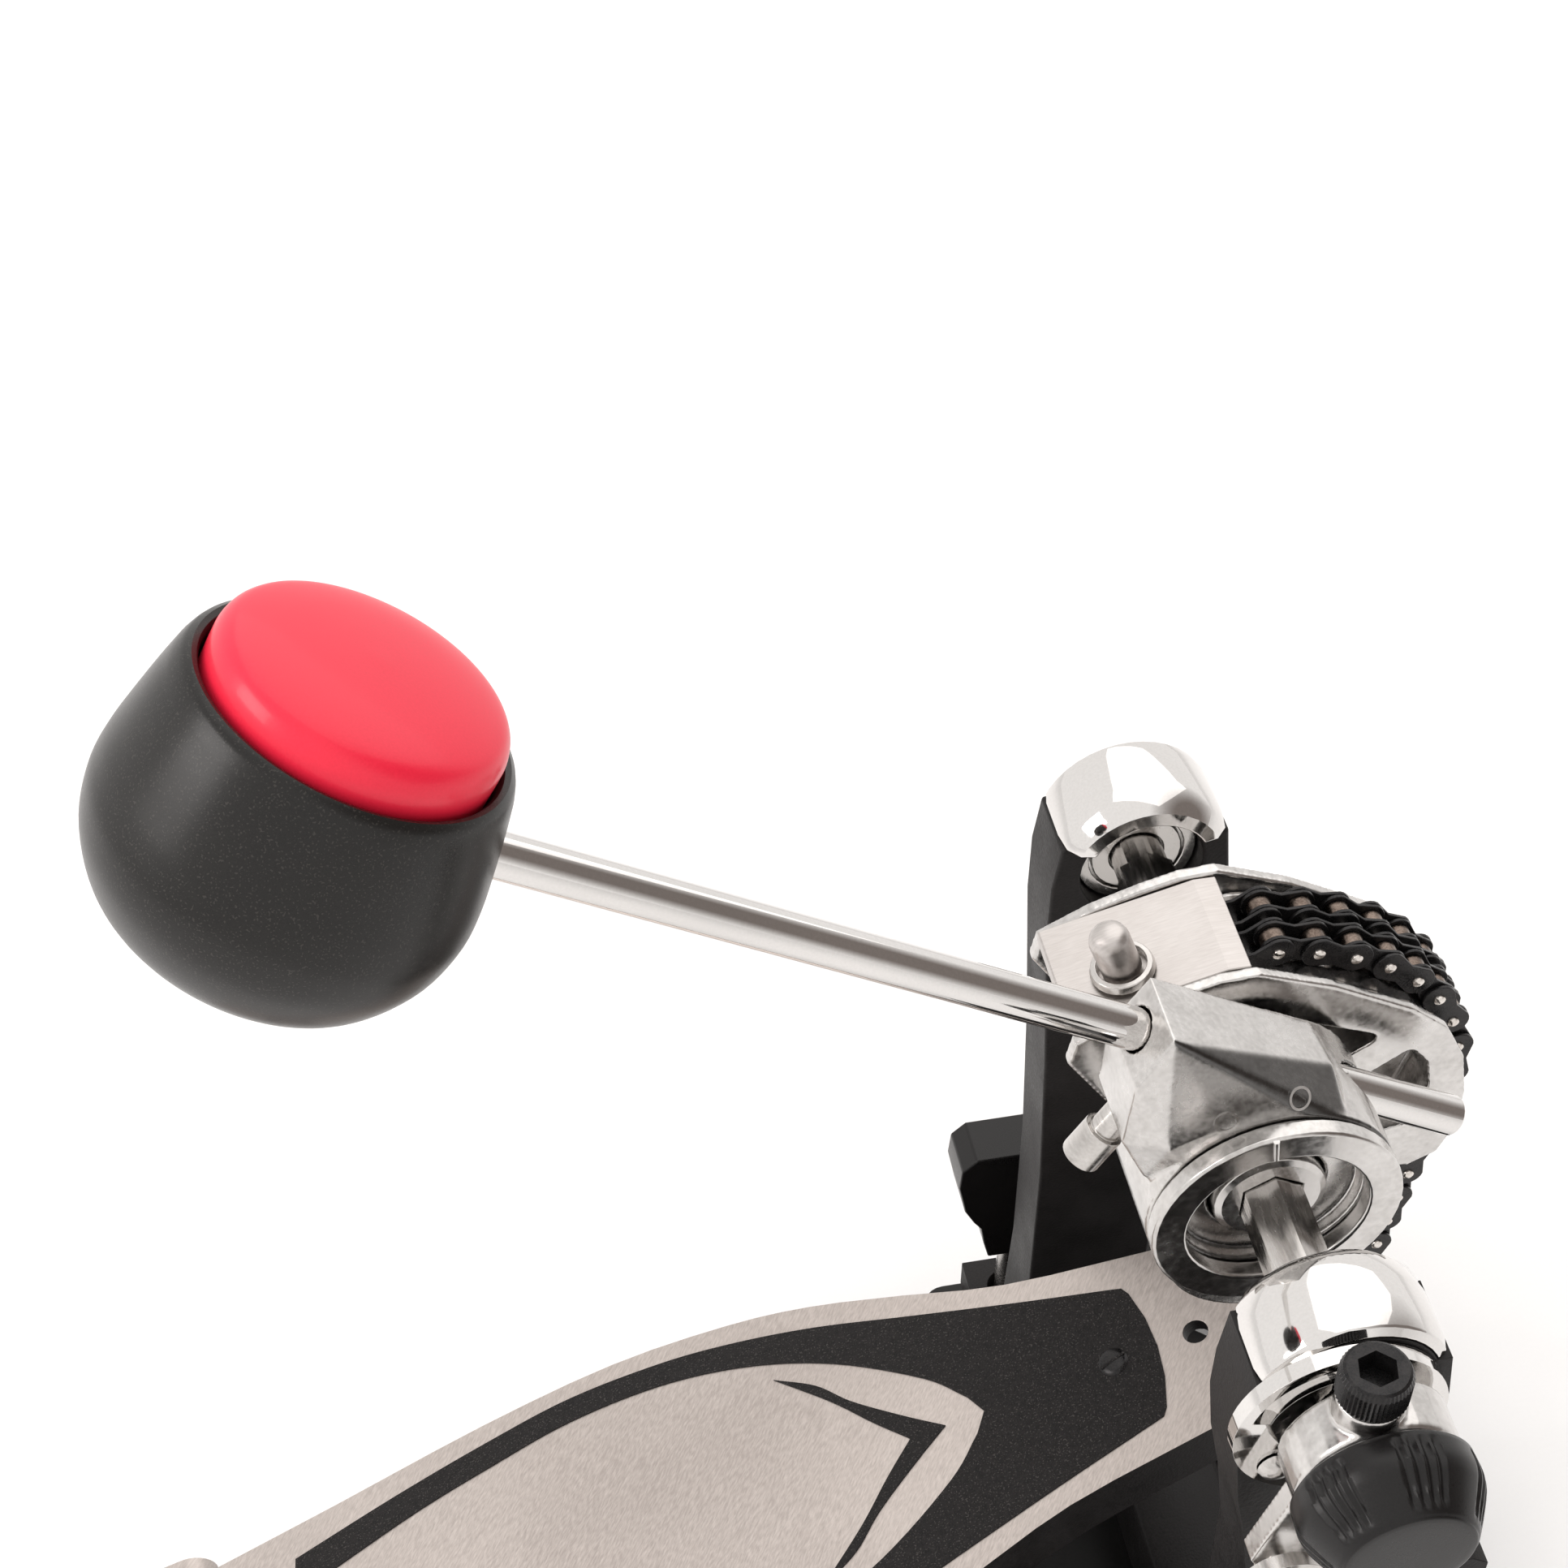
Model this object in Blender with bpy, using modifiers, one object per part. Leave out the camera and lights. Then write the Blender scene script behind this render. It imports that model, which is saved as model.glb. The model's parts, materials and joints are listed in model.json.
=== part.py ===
"""A bass drum pedal: chain-and-cam drive, hexagonal axle, adjustable beater, spring rocker and hoop clamp.

Lengths are in millimetres and are turned into metres when a mesh is made. +X points to the drum, +Y to the
player's left and +Z up. The floor is Z = 0, the axle lies along Y above X = 0, and the footboard, the chain
and the cam are centred on Y = 0.
"""

import math

import bmesh
import bpy
from mathutils import Matrix, Vector

MM = 0.001
OBJECT_NAME = "bass_drum_pedal"
GAP = 0.3  # between pieces that touch

# Driving dimensions
AXLE_Z = 208.0
AXLE_REACH = (-108.0, 62.0)  # the ends of the axle along Y
HEX_RADIUS = 6.35  # to the corners: 11 mm across flats
JOURNAL_RADIUS = 5.5
BEATER_LEAN = math.radians(30.6)  # of the beater rod above the horizontal, leaning back at rest
STROKE = math.radians(56.0)  # turn of the axle from rest to the drum head

BOARD_SLOPE = math.radians(21.0)
BOARD_TOP_UNDER_AXLE = 102.3
BOARD_DEPTH = 13.0
BOARD_HINGE_RUN = 240.0  # along the board, from under the axle back to its hinge
BOARD_HALF_WIDTHS = (
    (47.0, 17.5), (30.0, 21.5), (5.0, 24.8), (-28.0, 30.2), (-52.0, 37.8), (-74.0, 44.3), (-95.0, 47.9),
    (-125.0, 49.4), (-160.0, 46.4), (-200.0, 40.3), (-233.0, 35.6),
)  # distance along the board and half its width there
HINGE_Z = 12.0

BASE_LOW, BASE_HIGH = 2.8, 5.8  # the steel base plate, above its rubber mats
LEFT_POST = (46.0, 63.0)  # inner and outer faces along Y
RIGHT_POST = (-70.0, -87.0)
CAP_RADIUS = 18.7
CAP_SEAT_RADIUS = 16.0
RIGHT_POST_REAR = [
    (15, 45), (11.5, 75), (10.8, 120), (11.5, 151), (14, 167), (17, 181), (18.8, 195), (18.8, 205), (17.6, 216.2),
]
CAP_RISE = 2.0
CAP_FOOT = 8.5
BEARING_RADIUS = 12.7

CAM_FLANGE = (12.2, 14.8)  # inner and outer faces of each flange, from the centre
CHAIN_PITCH = 8.3
CHAIN_HALF_WIDTH = 8.0
CHAIN_HALF_HEIGHT = 2.9
CHAIN_PATH_CENTRE = (0.5, -13.0)  # of the ellipse that the pins lie on, from the axle
CHAIN_PATH_RADII = (50.0, 42.5)
FREE_LINKS = 6  # links that lie on the cam at rest and hang straight after the stroke
TOE_PIN = (41.5, -85.0)  # from the axle
TOE_CLEARANCE = 6.5  # the chain stops this far short of its toe pin

HUB_Y = (-46.2, -17.2)  # near and far faces of the beater hub
ROD_Y = -27.2
ROD_OFFSET = 19.0  # of the rod's line from the axle
ROD_RADIUS = 4.0
ROD_REACH = (-36.0, 190.0)
HEAD_ALONG = 200.0
HEAD_TWIST = math.radians(5.0)

ROCKER_Y = (-104.0, -93.4)
ROCKER_ARM = (-12.6, -31.6)  # from the axle to the spring's pivot
SPRING_Y = -103.0
SPRING_FOOT_Z = 58.0
SPRING_COIL_RADIUS = 6.2
SPRING_WIRE_RADIUS = 1.1
SPRING_TURNS = 17

CLAMP_PIVOT = (42.0, 25.0)
CLAMP_SCREW_AT = (-8.0, 82.0)


# Helpers


def clear_scene():
    for old in list(bpy.data.objects):
        bpy.data.objects.remove(old, do_unlink=True)


def new_collection(name):
    collection = bpy.data.collections.new(name)
    bpy.context.scene.collection.children.link(collection)
    return collection


def new_material(name, colour, metallic, roughness):
    material = bpy.data.materials.new(name)
    material.use_nodes = True
    shader = material.node_tree.nodes["Principled BSDF"]
    shader.inputs["Base Color"].default_value = (*colour, 1.0)
    shader.inputs["Metallic"].default_value = metallic
    shader.inputs["Roughness"].default_value = roughness
    return material


def add_object(name, mesh, material=None):
    """Link a mesh as a part, or as a cutter where it has no material."""
    made = bpy.data.objects.new(name, mesh)
    if material:
        mesh.materials.append(material)
        parts.objects.link(made)
    else:
        cutters.objects.link(made)
        made.hide_render = True
        made.display_type = "WIRE"
    return made


def smooth(mesh, angle=35.0):
    mesh.shade_smooth()
    mesh.set_sharp_from_angle(angle=math.radians(angle))


def points_at(direction):
    """Rotation that takes +Z to a direction."""
    return Vector((0, 0, 1)).rotation_difference(Vector(direction).normalized()).to_matrix().to_4x4()


def cylinder(name, start, end, radius, material=None, segments=24):
    start = Vector(start) * MM
    end = Vector(end) * MM
    shape = bmesh.new()
    bmesh.ops.create_cone(
        shape, cap_ends=True, segments=segments, radius1=radius * MM, radius2=radius * MM, depth=(end - start).length
    )
    bmesh.ops.transform(shape, matrix=Matrix.Translation((start + end) / 2) @ points_at(end - start), verts=shape.verts)
    mesh = bpy.data.meshes.new(name)
    shape.to_mesh(mesh)
    shape.free()
    smooth(mesh)
    return add_object(name, mesh, material)


def box(name, low, high, material=None, bevel=0.0):
    low, high = Vector(low) * MM, Vector(high) * MM
    shape = bmesh.new()
    bmesh.ops.create_cube(shape, size=1.0)
    bmesh.ops.scale(shape, vec=high - low, verts=shape.verts)
    bmesh.ops.translate(shape, vec=(low + high) / 2, verts=shape.verts)
    mesh = bpy.data.meshes.new(name)
    shape.to_mesh(mesh)
    shape.free()
    made = add_object(name, mesh, material)
    if bevel:
        edge = made.modifiers.new("rounded edges", "BEVEL")
        edge.width = bevel * MM
        edge.segments = 2
    return made


def curve_to_mesh(curve, name, placement, material):
    """A curve as a closed mesh in world coordinates."""
    holder = bpy.data.objects.new(name + "_curve", curve)
    bpy.context.scene.collection.objects.link(holder)
    bpy.context.view_layer.update()
    mesh = bpy.data.meshes.new_from_object(holder.evaluated_get(bpy.context.evaluated_depsgraph_get()))
    mesh.name = name
    mesh.transform(placement)
    bpy.data.objects.remove(holder, do_unlink=True)
    bpy.data.curves.remove(curve)
    shape = bmesh.new()
    shape.from_mesh(mesh)
    bmesh.ops.remove_doubles(shape, verts=shape.verts, dist=0.00001)
    bmesh.ops.recalc_face_normals(shape, faces=shape.faces)
    shape.to_mesh(mesh)
    shape.free()
    smooth(mesh)
    return add_object(name, mesh, material)


def slab(name, outline, thickness, placement, material=None):
    """A flat outline in its local XY plane, thickened evenly to both sides."""
    curve = bpy.data.curves.new(name, "CURVE")
    curve.dimensions = "2D"
    curve.fill_mode = "BOTH"
    curve.extrude = thickness / 2 * MM
    line = curve.splines.new("POLY")
    line.points.add(len(outline) - 1)
    for point, (x, y) in zip(line.points, outline):
        point.co = (x * MM, y * MM, 0.0, 1.0)
    line.use_cyclic_u = True
    return curve_to_mesh(curve, name, placement, material)


def side_slab(name, outline, y0, y1, material=None):
    """A slab whose outline is in world X and Z, between two distances along Y."""
    placement = Matrix.Translation((0, (y0 + y1) / 2 * MM, 0)) @ Matrix.Rotation(math.pi / 2, 4, "X")
    return slab(name, outline, abs(y1 - y0), placement, material)


def floor_slab(name, outline, z0, z1, material=None):
    """A slab whose outline is in world X and Y, between two heights."""
    return slab(name, outline, z1 - z0, Matrix.Translation((0, 0, (z0 + z1) / 2 * MM)), material)


def lathe(name, profile, base, direction, material=None, steps=40, closed=False):
    """Turn a profile of (radius, height), listed down its outer side, about a line through base."""
    mesh = bpy.data.meshes.new(name)
    area = sum(a[0] * b[1] - b[0] * a[1] for a, b in zip(profile, profile[1:] + profile[:1]))
    profile = profile if area < 0 else profile[::-1]
    last = len(profile)
    edges = [(i, (i + 1) % last) for i in range(last if closed else last - 1)]
    mesh.from_pydata([(r * MM, 0.0, h * MM) for r, h in profile], edges, [])
    made = add_object(name, mesh, material)
    made.matrix_world = Matrix.Translation(Vector(base) * MM) @ points_at(direction)
    turn = made.modifiers.new("turned", "SCREW")
    turn.axis = "Z"
    turn.steps = steps
    turn.render_steps = steps
    turn.use_merge_vertices = True
    turn.merge_threshold = 0.00001
    return made


def hull(name, corners):
    """The smallest convex solid that holds all the corners, as a cutter or a shape to join."""
    shape = bmesh.new()
    made = [shape.verts.new(Vector(corner) * MM) for corner in corners]
    loose = bmesh.ops.convex_hull(shape, input=made)["geom_interior"]
    bmesh.ops.delete(shape, geom=[v for v in loose if isinstance(v, bmesh.types.BMVert)], context="VERTS")
    bmesh.ops.recalc_face_normals(shape, faces=shape.faces)
    mesh = bpy.data.meshes.new(name)
    shape.to_mesh(mesh)
    shape.free()
    return add_object(name, mesh)


def wire(name, route, radius, material=None):
    """A round bar along a list of points."""
    curve = bpy.data.curves.new(name, "CURVE")
    curve.dimensions = "3D"
    curve.bevel_depth = radius * MM
    curve.bevel_resolution = 2
    curve.use_fill_caps = True
    line = curve.splines.new("POLY")
    line.points.add(len(route) - 1)
    for point, place in zip(line.points, route):
        point.co = (*(Vector(place) * MM), 1.0)
    return curve_to_mesh(curve, name, Matrix.Identity(4), material)


def combine(target, other, operation):
    """Join another shape to a part or cut it away. The other shape becomes a hidden cutter."""
    step = target.modifiers.new(operation.lower(), "BOOLEAN")
    step.operation = operation
    step.object = other
    step.solver = "EXACT"
    return target


def cut(target, *others):
    for other in others:
        combine(target, other, "DIFFERENCE")
    return target


def fuse(target, *others):
    for other in others:
        combine(target, other, "UNION")
    return target


def pivot(name, place, members):
    """An empty on a joint's axis, with the pieces that move about it."""
    empty = bpy.data.objects.new(name, None)
    empty.empty_display_size = 0.01
    empty.location = Vector(place) * MM
    parts.objects.link(empty)
    for member in members:
        member.parent = empty
        member.matrix_parent_inverse = Matrix.Translation(-Vector(place) * MM)
    return empty


def arc(centre, radius, start, stop, steps):
    """Points on a circle from one angle to another, in degrees."""
    turns = [math.radians(start + (stop - start) * i / steps) for i in range(steps + 1)]
    return [(centre[0] + radius * math.cos(t), centre[1] + radius * math.sin(t)) for t in turns]


def rounded(corners, radius, steps=4):
    """A polygon with each corner replaced by an arc."""
    outline = []
    for i, corner in enumerate(corners):
        here = Vector(corner)
        before = (Vector(corners[i - 1]) - here).normalized()
        after = (Vector(corners[(i + 1) % len(corners)]) - here).normalized()
        half = before.angle(after) / 2
        run = radius / math.tan(half)
        centre = here + (before + after).normalized() * radius / math.sin(half)
        first, last = here + before * run - centre, here + after * run - centre
        sweep = first.angle_signed(last)
        for k in range(steps + 1):
            turn = Matrix.Rotation(-sweep * k / steps, 2)
            outline.append(tuple(centre + turn @ first))
    return outline


def spline(stations, steps=3):
    """A smooth curve (Catmull-Rom) through a list of points."""
    points = [Vector(s) for s in stations]
    padded = [2 * points[0] - points[1]] + points + [2 * points[-1] - points[-2]]
    curve = []
    for i in range(1, len(padded) - 2):
        p0, p1, p2, p3 = padded[i - 1 : i + 3]
        for k in range(steps):
            t = k / steps
            blend = 2 * p1 + (p2 - p0) * t + (2 * p0 - 5 * p1 + 4 * p2 - p3) * t * t
            curve.append(tuple((blend + (3 * p1 - p0 - 3 * p2 + p3) * t**3) / 2))
    curve.append(tuple(points[-1]))
    return curve


def hub_xz(along, out):
    """World X and Z of a point given along the beater rod and out from the axle, square to it."""
    x = -along * math.cos(BEATER_LEAN) + out * math.sin(BEATER_LEAN)
    z = along * math.sin(BEATER_LEAN) + out * math.cos(BEATER_LEAN)
    return (x, AXLE_Z + z)


def hub_point(along, out, y=ROD_Y):
    x, z = hub_xz(along, out)
    return (x, y, z)


def board_point(run, lift, y=0.0):
    """World place of a point on the footboard: run along its slope, lift above its top face."""
    x = run * math.cos(BOARD_SLOPE) - lift * math.sin(BOARD_SLOPE)
    z = BOARD_TOP_UNDER_AXLE + run * math.sin(BOARD_SLOPE) + lift * math.cos(BOARD_SLOPE)
    return (x, y, z)


def chain_pins(count):
    """Pins of the chain on the cam, one pitch apart, going forward and down from the plate."""
    (cx, cz), (rx, rz) = CHAIN_PATH_CENTRE, CHAIN_PATH_RADII

    def at(turn):
        return Vector((cx + rx * math.sin(turn), AXLE_Z + cz + rz * math.cos(turn)))

    turn = math.asin((8.3 - cx) / rx)
    pins = [at(turn)]
    while len(pins) < count:
        step = 0.001
        while (at(turn + step) - pins[-1]).length < CHAIN_PITCH:
            step += 0.0005
        turn += step
        pins.append(at(turn))
    return pins


# The frame: base, posts, caps, bearings, heel


def make_base():
    outline = rounded(
        [(82, -34), (82, 34), (44, 64), (10, 94), (-26, 94), (-40, 66), (-80, 44), (-300, 44), (-300, -44),
         (-80, -44), (-44, -66), (-44, -124), (6, -124), (44, -88)],
        6.0,
    )
    base = floor_slab("base_plate", outline, BASE_LOW, BASE_HIGH, black_paint)
    front = rounded([(76, -30), (76, 30), (40, 60), (-30, 60), (-30, -84), (40, -84)], 5.0)
    heel = rounded([(-200, -40), (-200, 40), (-296, 40), (-296, -40)], 5.0)
    floor_slab("base_mat_front", front, 0.0, BASE_LOW - GAP, rubber)
    floor_slab("base_mat_heel", heel, 0.0, BASE_LOW - GAP, rubber)
    return base


def make_post(name, faces, rear=None):
    """A cast post: a foot, straight sides, and a round top that the chrome cap sits on."""
    low = BASE_HIGH + GAP
    shoulder = AXLE_Z + CAP_FOOT - GAP
    front = [(15.5, 45), (14.5, 70), (14.8, 110), (16.5, 150), (19.0, 190), (19.0, 205), (17.6, shoulder)]
    sides = [(-34, low), (30, low), (30, low + 7)] + front
    start = math.degrees(math.asin((CAP_FOOT - GAP - CAP_RISE) / CAP_SEAT_RADIUS))
    crown = arc((0, AXLE_Z + CAP_RISE), CAP_SEAT_RADIUS, start, 180 - start, 18)
    back = [(-x, z) for x, z in (front if rear is None else rear)[::-1]] + [(-34, low + 7)]
    post = side_slab(name, sides + crown + back, *faces, black_cast)
    reach = 1 if faces[1] > 0 else -1
    bore = cylinder(
        name + "_bore", (0, faces[0] - reach, AXLE_Z), (0, faces[1] + reach, AXLE_Z), BEARING_RADIUS + GAP, segments=32
    )
    return cut(post, bore)


def make_cap(name, inner, outer):
    """A chrome saddle over a post's round top, with a rolled lip round the axle at its inner face."""
    reach = 1 if outer > inner else -1
    width = abs(outer - inner)
    seat = CAP_SEAT_RADIUS + GAP
    profile = [
        (CAP_RADIUS - 2.4, width), (CAP_RADIUS - 0.6, width - 1.2), (CAP_RADIUS, width - 4.0), (CAP_RADIUS, 8.0),
        (CAP_RADIUS - 0.7, 3.5), (CAP_RADIUS - 2.8, 0.9), (CAP_RADIUS - 5.5, 0.2), (BEARING_RADIUS, 1.6),
        (BEARING_RADIUS, 3.2), (seat, 3.2), (seat, width),
    ]
    cap = lathe(name, profile, (0, inner, AXLE_Z + CAP_RISE), (0, reach, 0), chrome, steps=40, closed=True)
    lower = box(name + "_cut", (-30, min(inner, outer) - 5, AXLE_Z - 30), (30, max(inner, outer) + 5, AXLE_Z + CAP_FOOT))
    return cut(cap, lower)


def make_bearing(side, inner, outer):
    """The two rings of a ball bearing; the outer one stays in the post and the inner one turns."""
    middle = (inner + outer) / 2
    half = 4.0
    rings = []
    for part, low, high in (("outer_ring", 10.1, BEARING_RADIUS), ("inner_ring", JOURNAL_RADIUS + GAP, 9.6)):
        profile = [(high, half), (high, -half), (low, -half), (low, half)]
        name = side + "_bearing_" + part
        rings.append(lathe(name, profile, (0, middle, AXLE_Z), (0, 1, 0), steel, steps=28, closed=True))
    return rings[1]


def make_side_disc():
    """Chrome disc on the outer face of the right post, with an arc slot and a round-head screw."""
    y0 = RIGHT_POST[1] - GAP
    centre = (-2.5, AXLE_Z - 1.5)
    disc = side_slab("side_disc", arc(centre, 19.5, 0, 354, 59), y0, y0 - 3.2, chrome)
    hole = cylinder("side_disc_hole", (0, y0 + 2, AXLE_Z), (0, y0 - 5, AXLE_Z), 8.0)
    slot = arc(centre, 17.2, 80, 165, 16) + arc(centre, 13.6, 165, 80, 16)
    groove = side_slab("side_disc_slot", slot, y0 - 1.6, y0 - 5)
    cut(disc, hole, groove)
    face = y0 - 3.2 - GAP
    place = (-12.8, face, AXLE_Z - 11.5)
    dome = [(0, 2.0), (1.8, 1.7), (3.1, 0.9), (3.6, 0), (0, 0)]
    lathe("side_disc_screw", dome, place, (0, -1, 0), steel, steps=20)


def make_heel():
    """Heel plate with two knuckles that hold the footboard's hinge pin."""
    hinge_x = board_point(-BOARD_HINGE_RUN, 0)[0]
    low = BASE_HIGH + GAP
    outline = rounded([(hinge_x - 9, -41), (hinge_x - 9, 41), (-296, 38), (-296, -38)], 4.0)
    plate = floor_slab("heel_plate", outline, low, low + 6, brushed_steel)
    for side, y0, y1 in (("left", 30.3, 40.0), ("right", -40.0, -30.3)):
        knuckle = [(hinge_x - 16, low + 0.5), (hinge_x + 6, low + 0.5), (hinge_x + 6, HINGE_Z)]
        knuckle += arc((hinge_x, HINGE_Z), 6.0, 10, 120, 8) + [(hinge_x - 16, low + 5.5)]
        fuse(plate, side_slab("knuckle_" + side, knuckle, y0, y1))
    bore = cylinder("heel_bore", (hinge_x, -45, HINGE_Z), (hinge_x, 45, HINGE_Z), 2.5 + GAP, segments=20)
    cut(plate, bore)
    cylinder("heel_pin", (hinge_x, -40.5, HINGE_Z), (hinge_x, 40.5, HINGE_Z), 2.5, steel, segments=20)


def make_bridge():
    """Cross member between the posts' feet, with the lugs of the hoop clamp's pivot."""
    low = BASE_HIGH + GAP
    y0, y1 = RIGHT_POST[0] + GAP, LEFT_POST[0] - GAP
    bridge = box("front_bridge", (4, y0, low), (28, y1, low + 22), black_cast, bevel=2.0)
    x, z = CLAMP_PIVOT
    for side, a, b in (("left", 30, 40), ("right", -58, -48)):
        lug = [(20, low + 1), (x + 7, low + 1), (x + 7, z)] + arc((x, z), 7.0, 10, 90, 6) + [(20, low + 20)]
        fuse(bridge, side_slab("lug_" + side, lug, a, b))
    bore = cylinder("bridge_bore", (x, -70, z), (x, 46, z), 3.0 + GAP, segments=20)
    cut(bridge, bore)
    cylinder("clamp_pivot_pin", (x, -60, z), (x, 43, z), 3.0, steel, segments=20)


# The footboard


def board_outline(shrink=0.0):
    side = [(run, half - shrink) for run, half in spline(BOARD_HALF_WIDTHS)]
    nose = [(50.5 - shrink, -11.0), (51.5 - shrink, 0.0), (50.5 - shrink, 11.0)]
    return [(run, -half) for run, half in side[::-1]] + nose + side


def board_placement(lift):
    """Places an outline of (run, width) on the footboard, lifted above its top face."""
    turn = Matrix.Rotation(-BOARD_SLOPE, 4, "Y")
    return Matrix.Translation(Vector(board_point(0, lift)) * MM) @ turn


def make_footboard():
    board = slab("footboard", board_outline(), BOARD_DEPTH, board_placement(-BOARD_DEPTH / 2), brushed_steel)
    pocket = slab("board_pocket", board_outline(5.0), BOARD_DEPTH, board_placement(-BOARD_DEPTH / 2 - 4.0))
    heel_relief = box("heel_relief", (-260, -60, -10), (-208, 60, 9.0))
    hole = cylinder("toe_hole", board_point(10, -8), board_point(10, 2), 2.9, segments=20)
    screw_seat = cylinder("screw_seat", board_point(-9.5, -8), board_point(-9.5, 2), 3.6 + GAP, segments=24)
    cut(board, pocket, hole, screw_seat, heel_relief)
    screw = cylinder("board_screw", board_point(-9.5, -9), board_point(-9.5, 0), 3.6, black_paint, segments=24)
    x, _, z = board_point(-9.5, 0)
    slot = box("screw_slot", (x - 6, -0.5, z - 1.5), (x + 6, 0.5, z + 3))
    cut(screw, slot)

    hinge_x = board_point(-BOARD_HINGE_RUN, 0)[0]
    barrel = cylinder("footboard_hinge", (hinge_x, -29.7, HINGE_Z), (hinge_x, 29.7, HINGE_Z), 5.2, black_cast)
    tongue = [board_point(-238, -7.0), board_point(-212, -7.0), board_point(-212, -4.4),
              board_point(-238, -4.4)]
    fuse(barrel, side_slab("hinge_tongue", [(p[0], p[2]) for p in tongue], -28, 28))
    cut(barrel, cylinder("hinge_bore", (hinge_x, -35, HINGE_Z), (hinge_x, 35, HINGE_Z), 2.5 + GAP, segments=20))

    x, z = TOE_PIN[0], AXLE_Z + TOE_PIN[1]
    foot = [board_point(32, GAP), board_point(50, GAP), board_point(50, 2.5), board_point(32, 2.5)]
    bracket = side_slab("toe_bracket", [(p[0], p[2]) for p in foot], -13.5, 13.5, steel)
    for side, y0, y1 in (("left", 10.5, 13.5), ("right", -13.5, -10.5)):
        ear = [(x - 6, z - 6), (x + 6, z - 2)] + arc((x, z + 0.5), 5.0, 0, 180, 8)
        fuse(bracket, side_slab("ear_" + side, ear, y0, y1))
    cut(bracket, cylinder("ear_bore", (x, -15, z + 0.5), (x, 15, z + 0.5), 1.8 + GAP, segments=16))
    toe_pin = cylinder("toe_pin", (x, -15, z + 0.5), (x, 15, z + 0.5), 1.8, steel, segments=16)
    return [board, screw, barrel, bracket, toe_pin]


# The axle and what turns with it


def flange_outline():
    """Outline of each cam flange at rest, from its tail over the top to the front."""
    top = [(-33, 15), (-32, 20.5), (-22, 26.2), (-12.5, 29.8), (-5, 32.0), (2, 32.4), (17.5, 26.0), (34.6, 16.0)]
    front = [(42.5, 9.0), (47.5, -0.5), (49.6, -11), (49.8, -22), (47, -29.5), (41.5, -32.5), (35, -31.8)]
    under = [(16, -20), (4, -14.5), (-10, -10), (-24, 1.5)]
    return [(x, AXLE_Z + z) for x, z in top + front + under]


def track_outline():
    """The core under the chain and the plate."""
    (cx, cz), (rx, rz) = CHAIN_PATH_CENTRE, CHAIN_PATH_RADII
    inset = CHAIN_HALF_HEIGHT + 0.4
    turns = [math.radians(5 + 90 * i / 14) for i in range(15)]
    crown = [(cx + (rx - inset) * math.sin(t), AXLE_Z + cz + (rz - inset) * math.cos(t)) for t in turns]
    under = [(40, -24), (14, -16), (0, -13), (-12, -6), (-24, 6), (-27, 16), (0, 25)]
    return crown + [(x, AXLE_Z + z) for x, z in under]


def make_cam():
    inner, outer = CAM_FLANGE
    cam = side_slab("cam", track_outline(), -inner - 1, inner + 1, cast_aluminium)
    left = side_slab("cam_flange_left", flange_outline(), inner, outer)
    right = side_slab("cam_flange_right", flange_outline(), -outer, -inner)
    bore = cylinder("cam_bore", (0, -30, AXLE_Z), (0, 30, AXLE_Z), HEX_RADIUS + GAP, segments=6)
    windows = [
        rounded([(11, 17.5), (29.5, 9.5), (21, 3.5), (15, 8)], 1.5),
        rounded([(36, 4.5), (40, -0.5), (41.5, -8), (38.5, -19), (33, -20), (26, -3)], 1.5),
    ]
    fuse(cam, left, right)
    for number, window in enumerate(windows):
        outline = [(x, AXLE_Z + z) for x, z in window]
        cut(cam, side_slab("cam_window_%d" % number, outline, -outer - 1, -5), side_slab("far_window", outline, 5, outer + 1))
    cut(cam, bore)
    return cam


def make_axle():
    y0, y1 = AXLE_REACH
    axle = cylinder("hex_axle", (0, y0, AXLE_Z), (0, y1, AXLE_Z), JOURNAL_RADIUS, steel)
    flats = cylinder("axle_hex", (0, RIGHT_POST[0] + 1.5, AXLE_Z), (0, LEFT_POST[0] - 1.5, AXLE_Z), HEX_RADIUS, segments=6)
    return fuse(axle, flats)


def make_chain_plate():
    """Bent steel plate that holds the chain's end on the cam, with its stud and flanged collar."""
    lie = math.atan2(31.6 - 22.8, 33.5)
    top = [(-32.6, 22.9), (-3.0, 31.4), (1.5, 31.4), (1.5, 29.0), (-3.0, 29.0), (-32.6, 20.5)]
    plate = side_slab("chain_plate", [(x, AXLE_Z + z + 0.4) for x, z in top], -11.9, 11.9, polished_steel)
    up = Vector((-math.sin(lie), 0, math.cos(lie)))
    foot = Vector((-20.5, -4.2, AXLE_Z + 22.8 + 12.5 * 8.6 / 30 + 0.4)) + up * 0.5
    collar = lathe("stud_collar", [(4.8, 2.0), (5.9, 1.7), (6.3, 0.2), (4.8, 0.2)], foot, up, steel, 24, closed=True)
    peg = [(0, 12.0), (2.4, 11.7), (3.5, 10.8), (3.9, 9.4), (3.9, 0.8), (0, 0.8)]
    stud = lathe("chain_stud", peg, foot, Vector((-0.36, 0.0, 0.93)), polished_steel, 24)
    return [plate, collar, stud]


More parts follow.
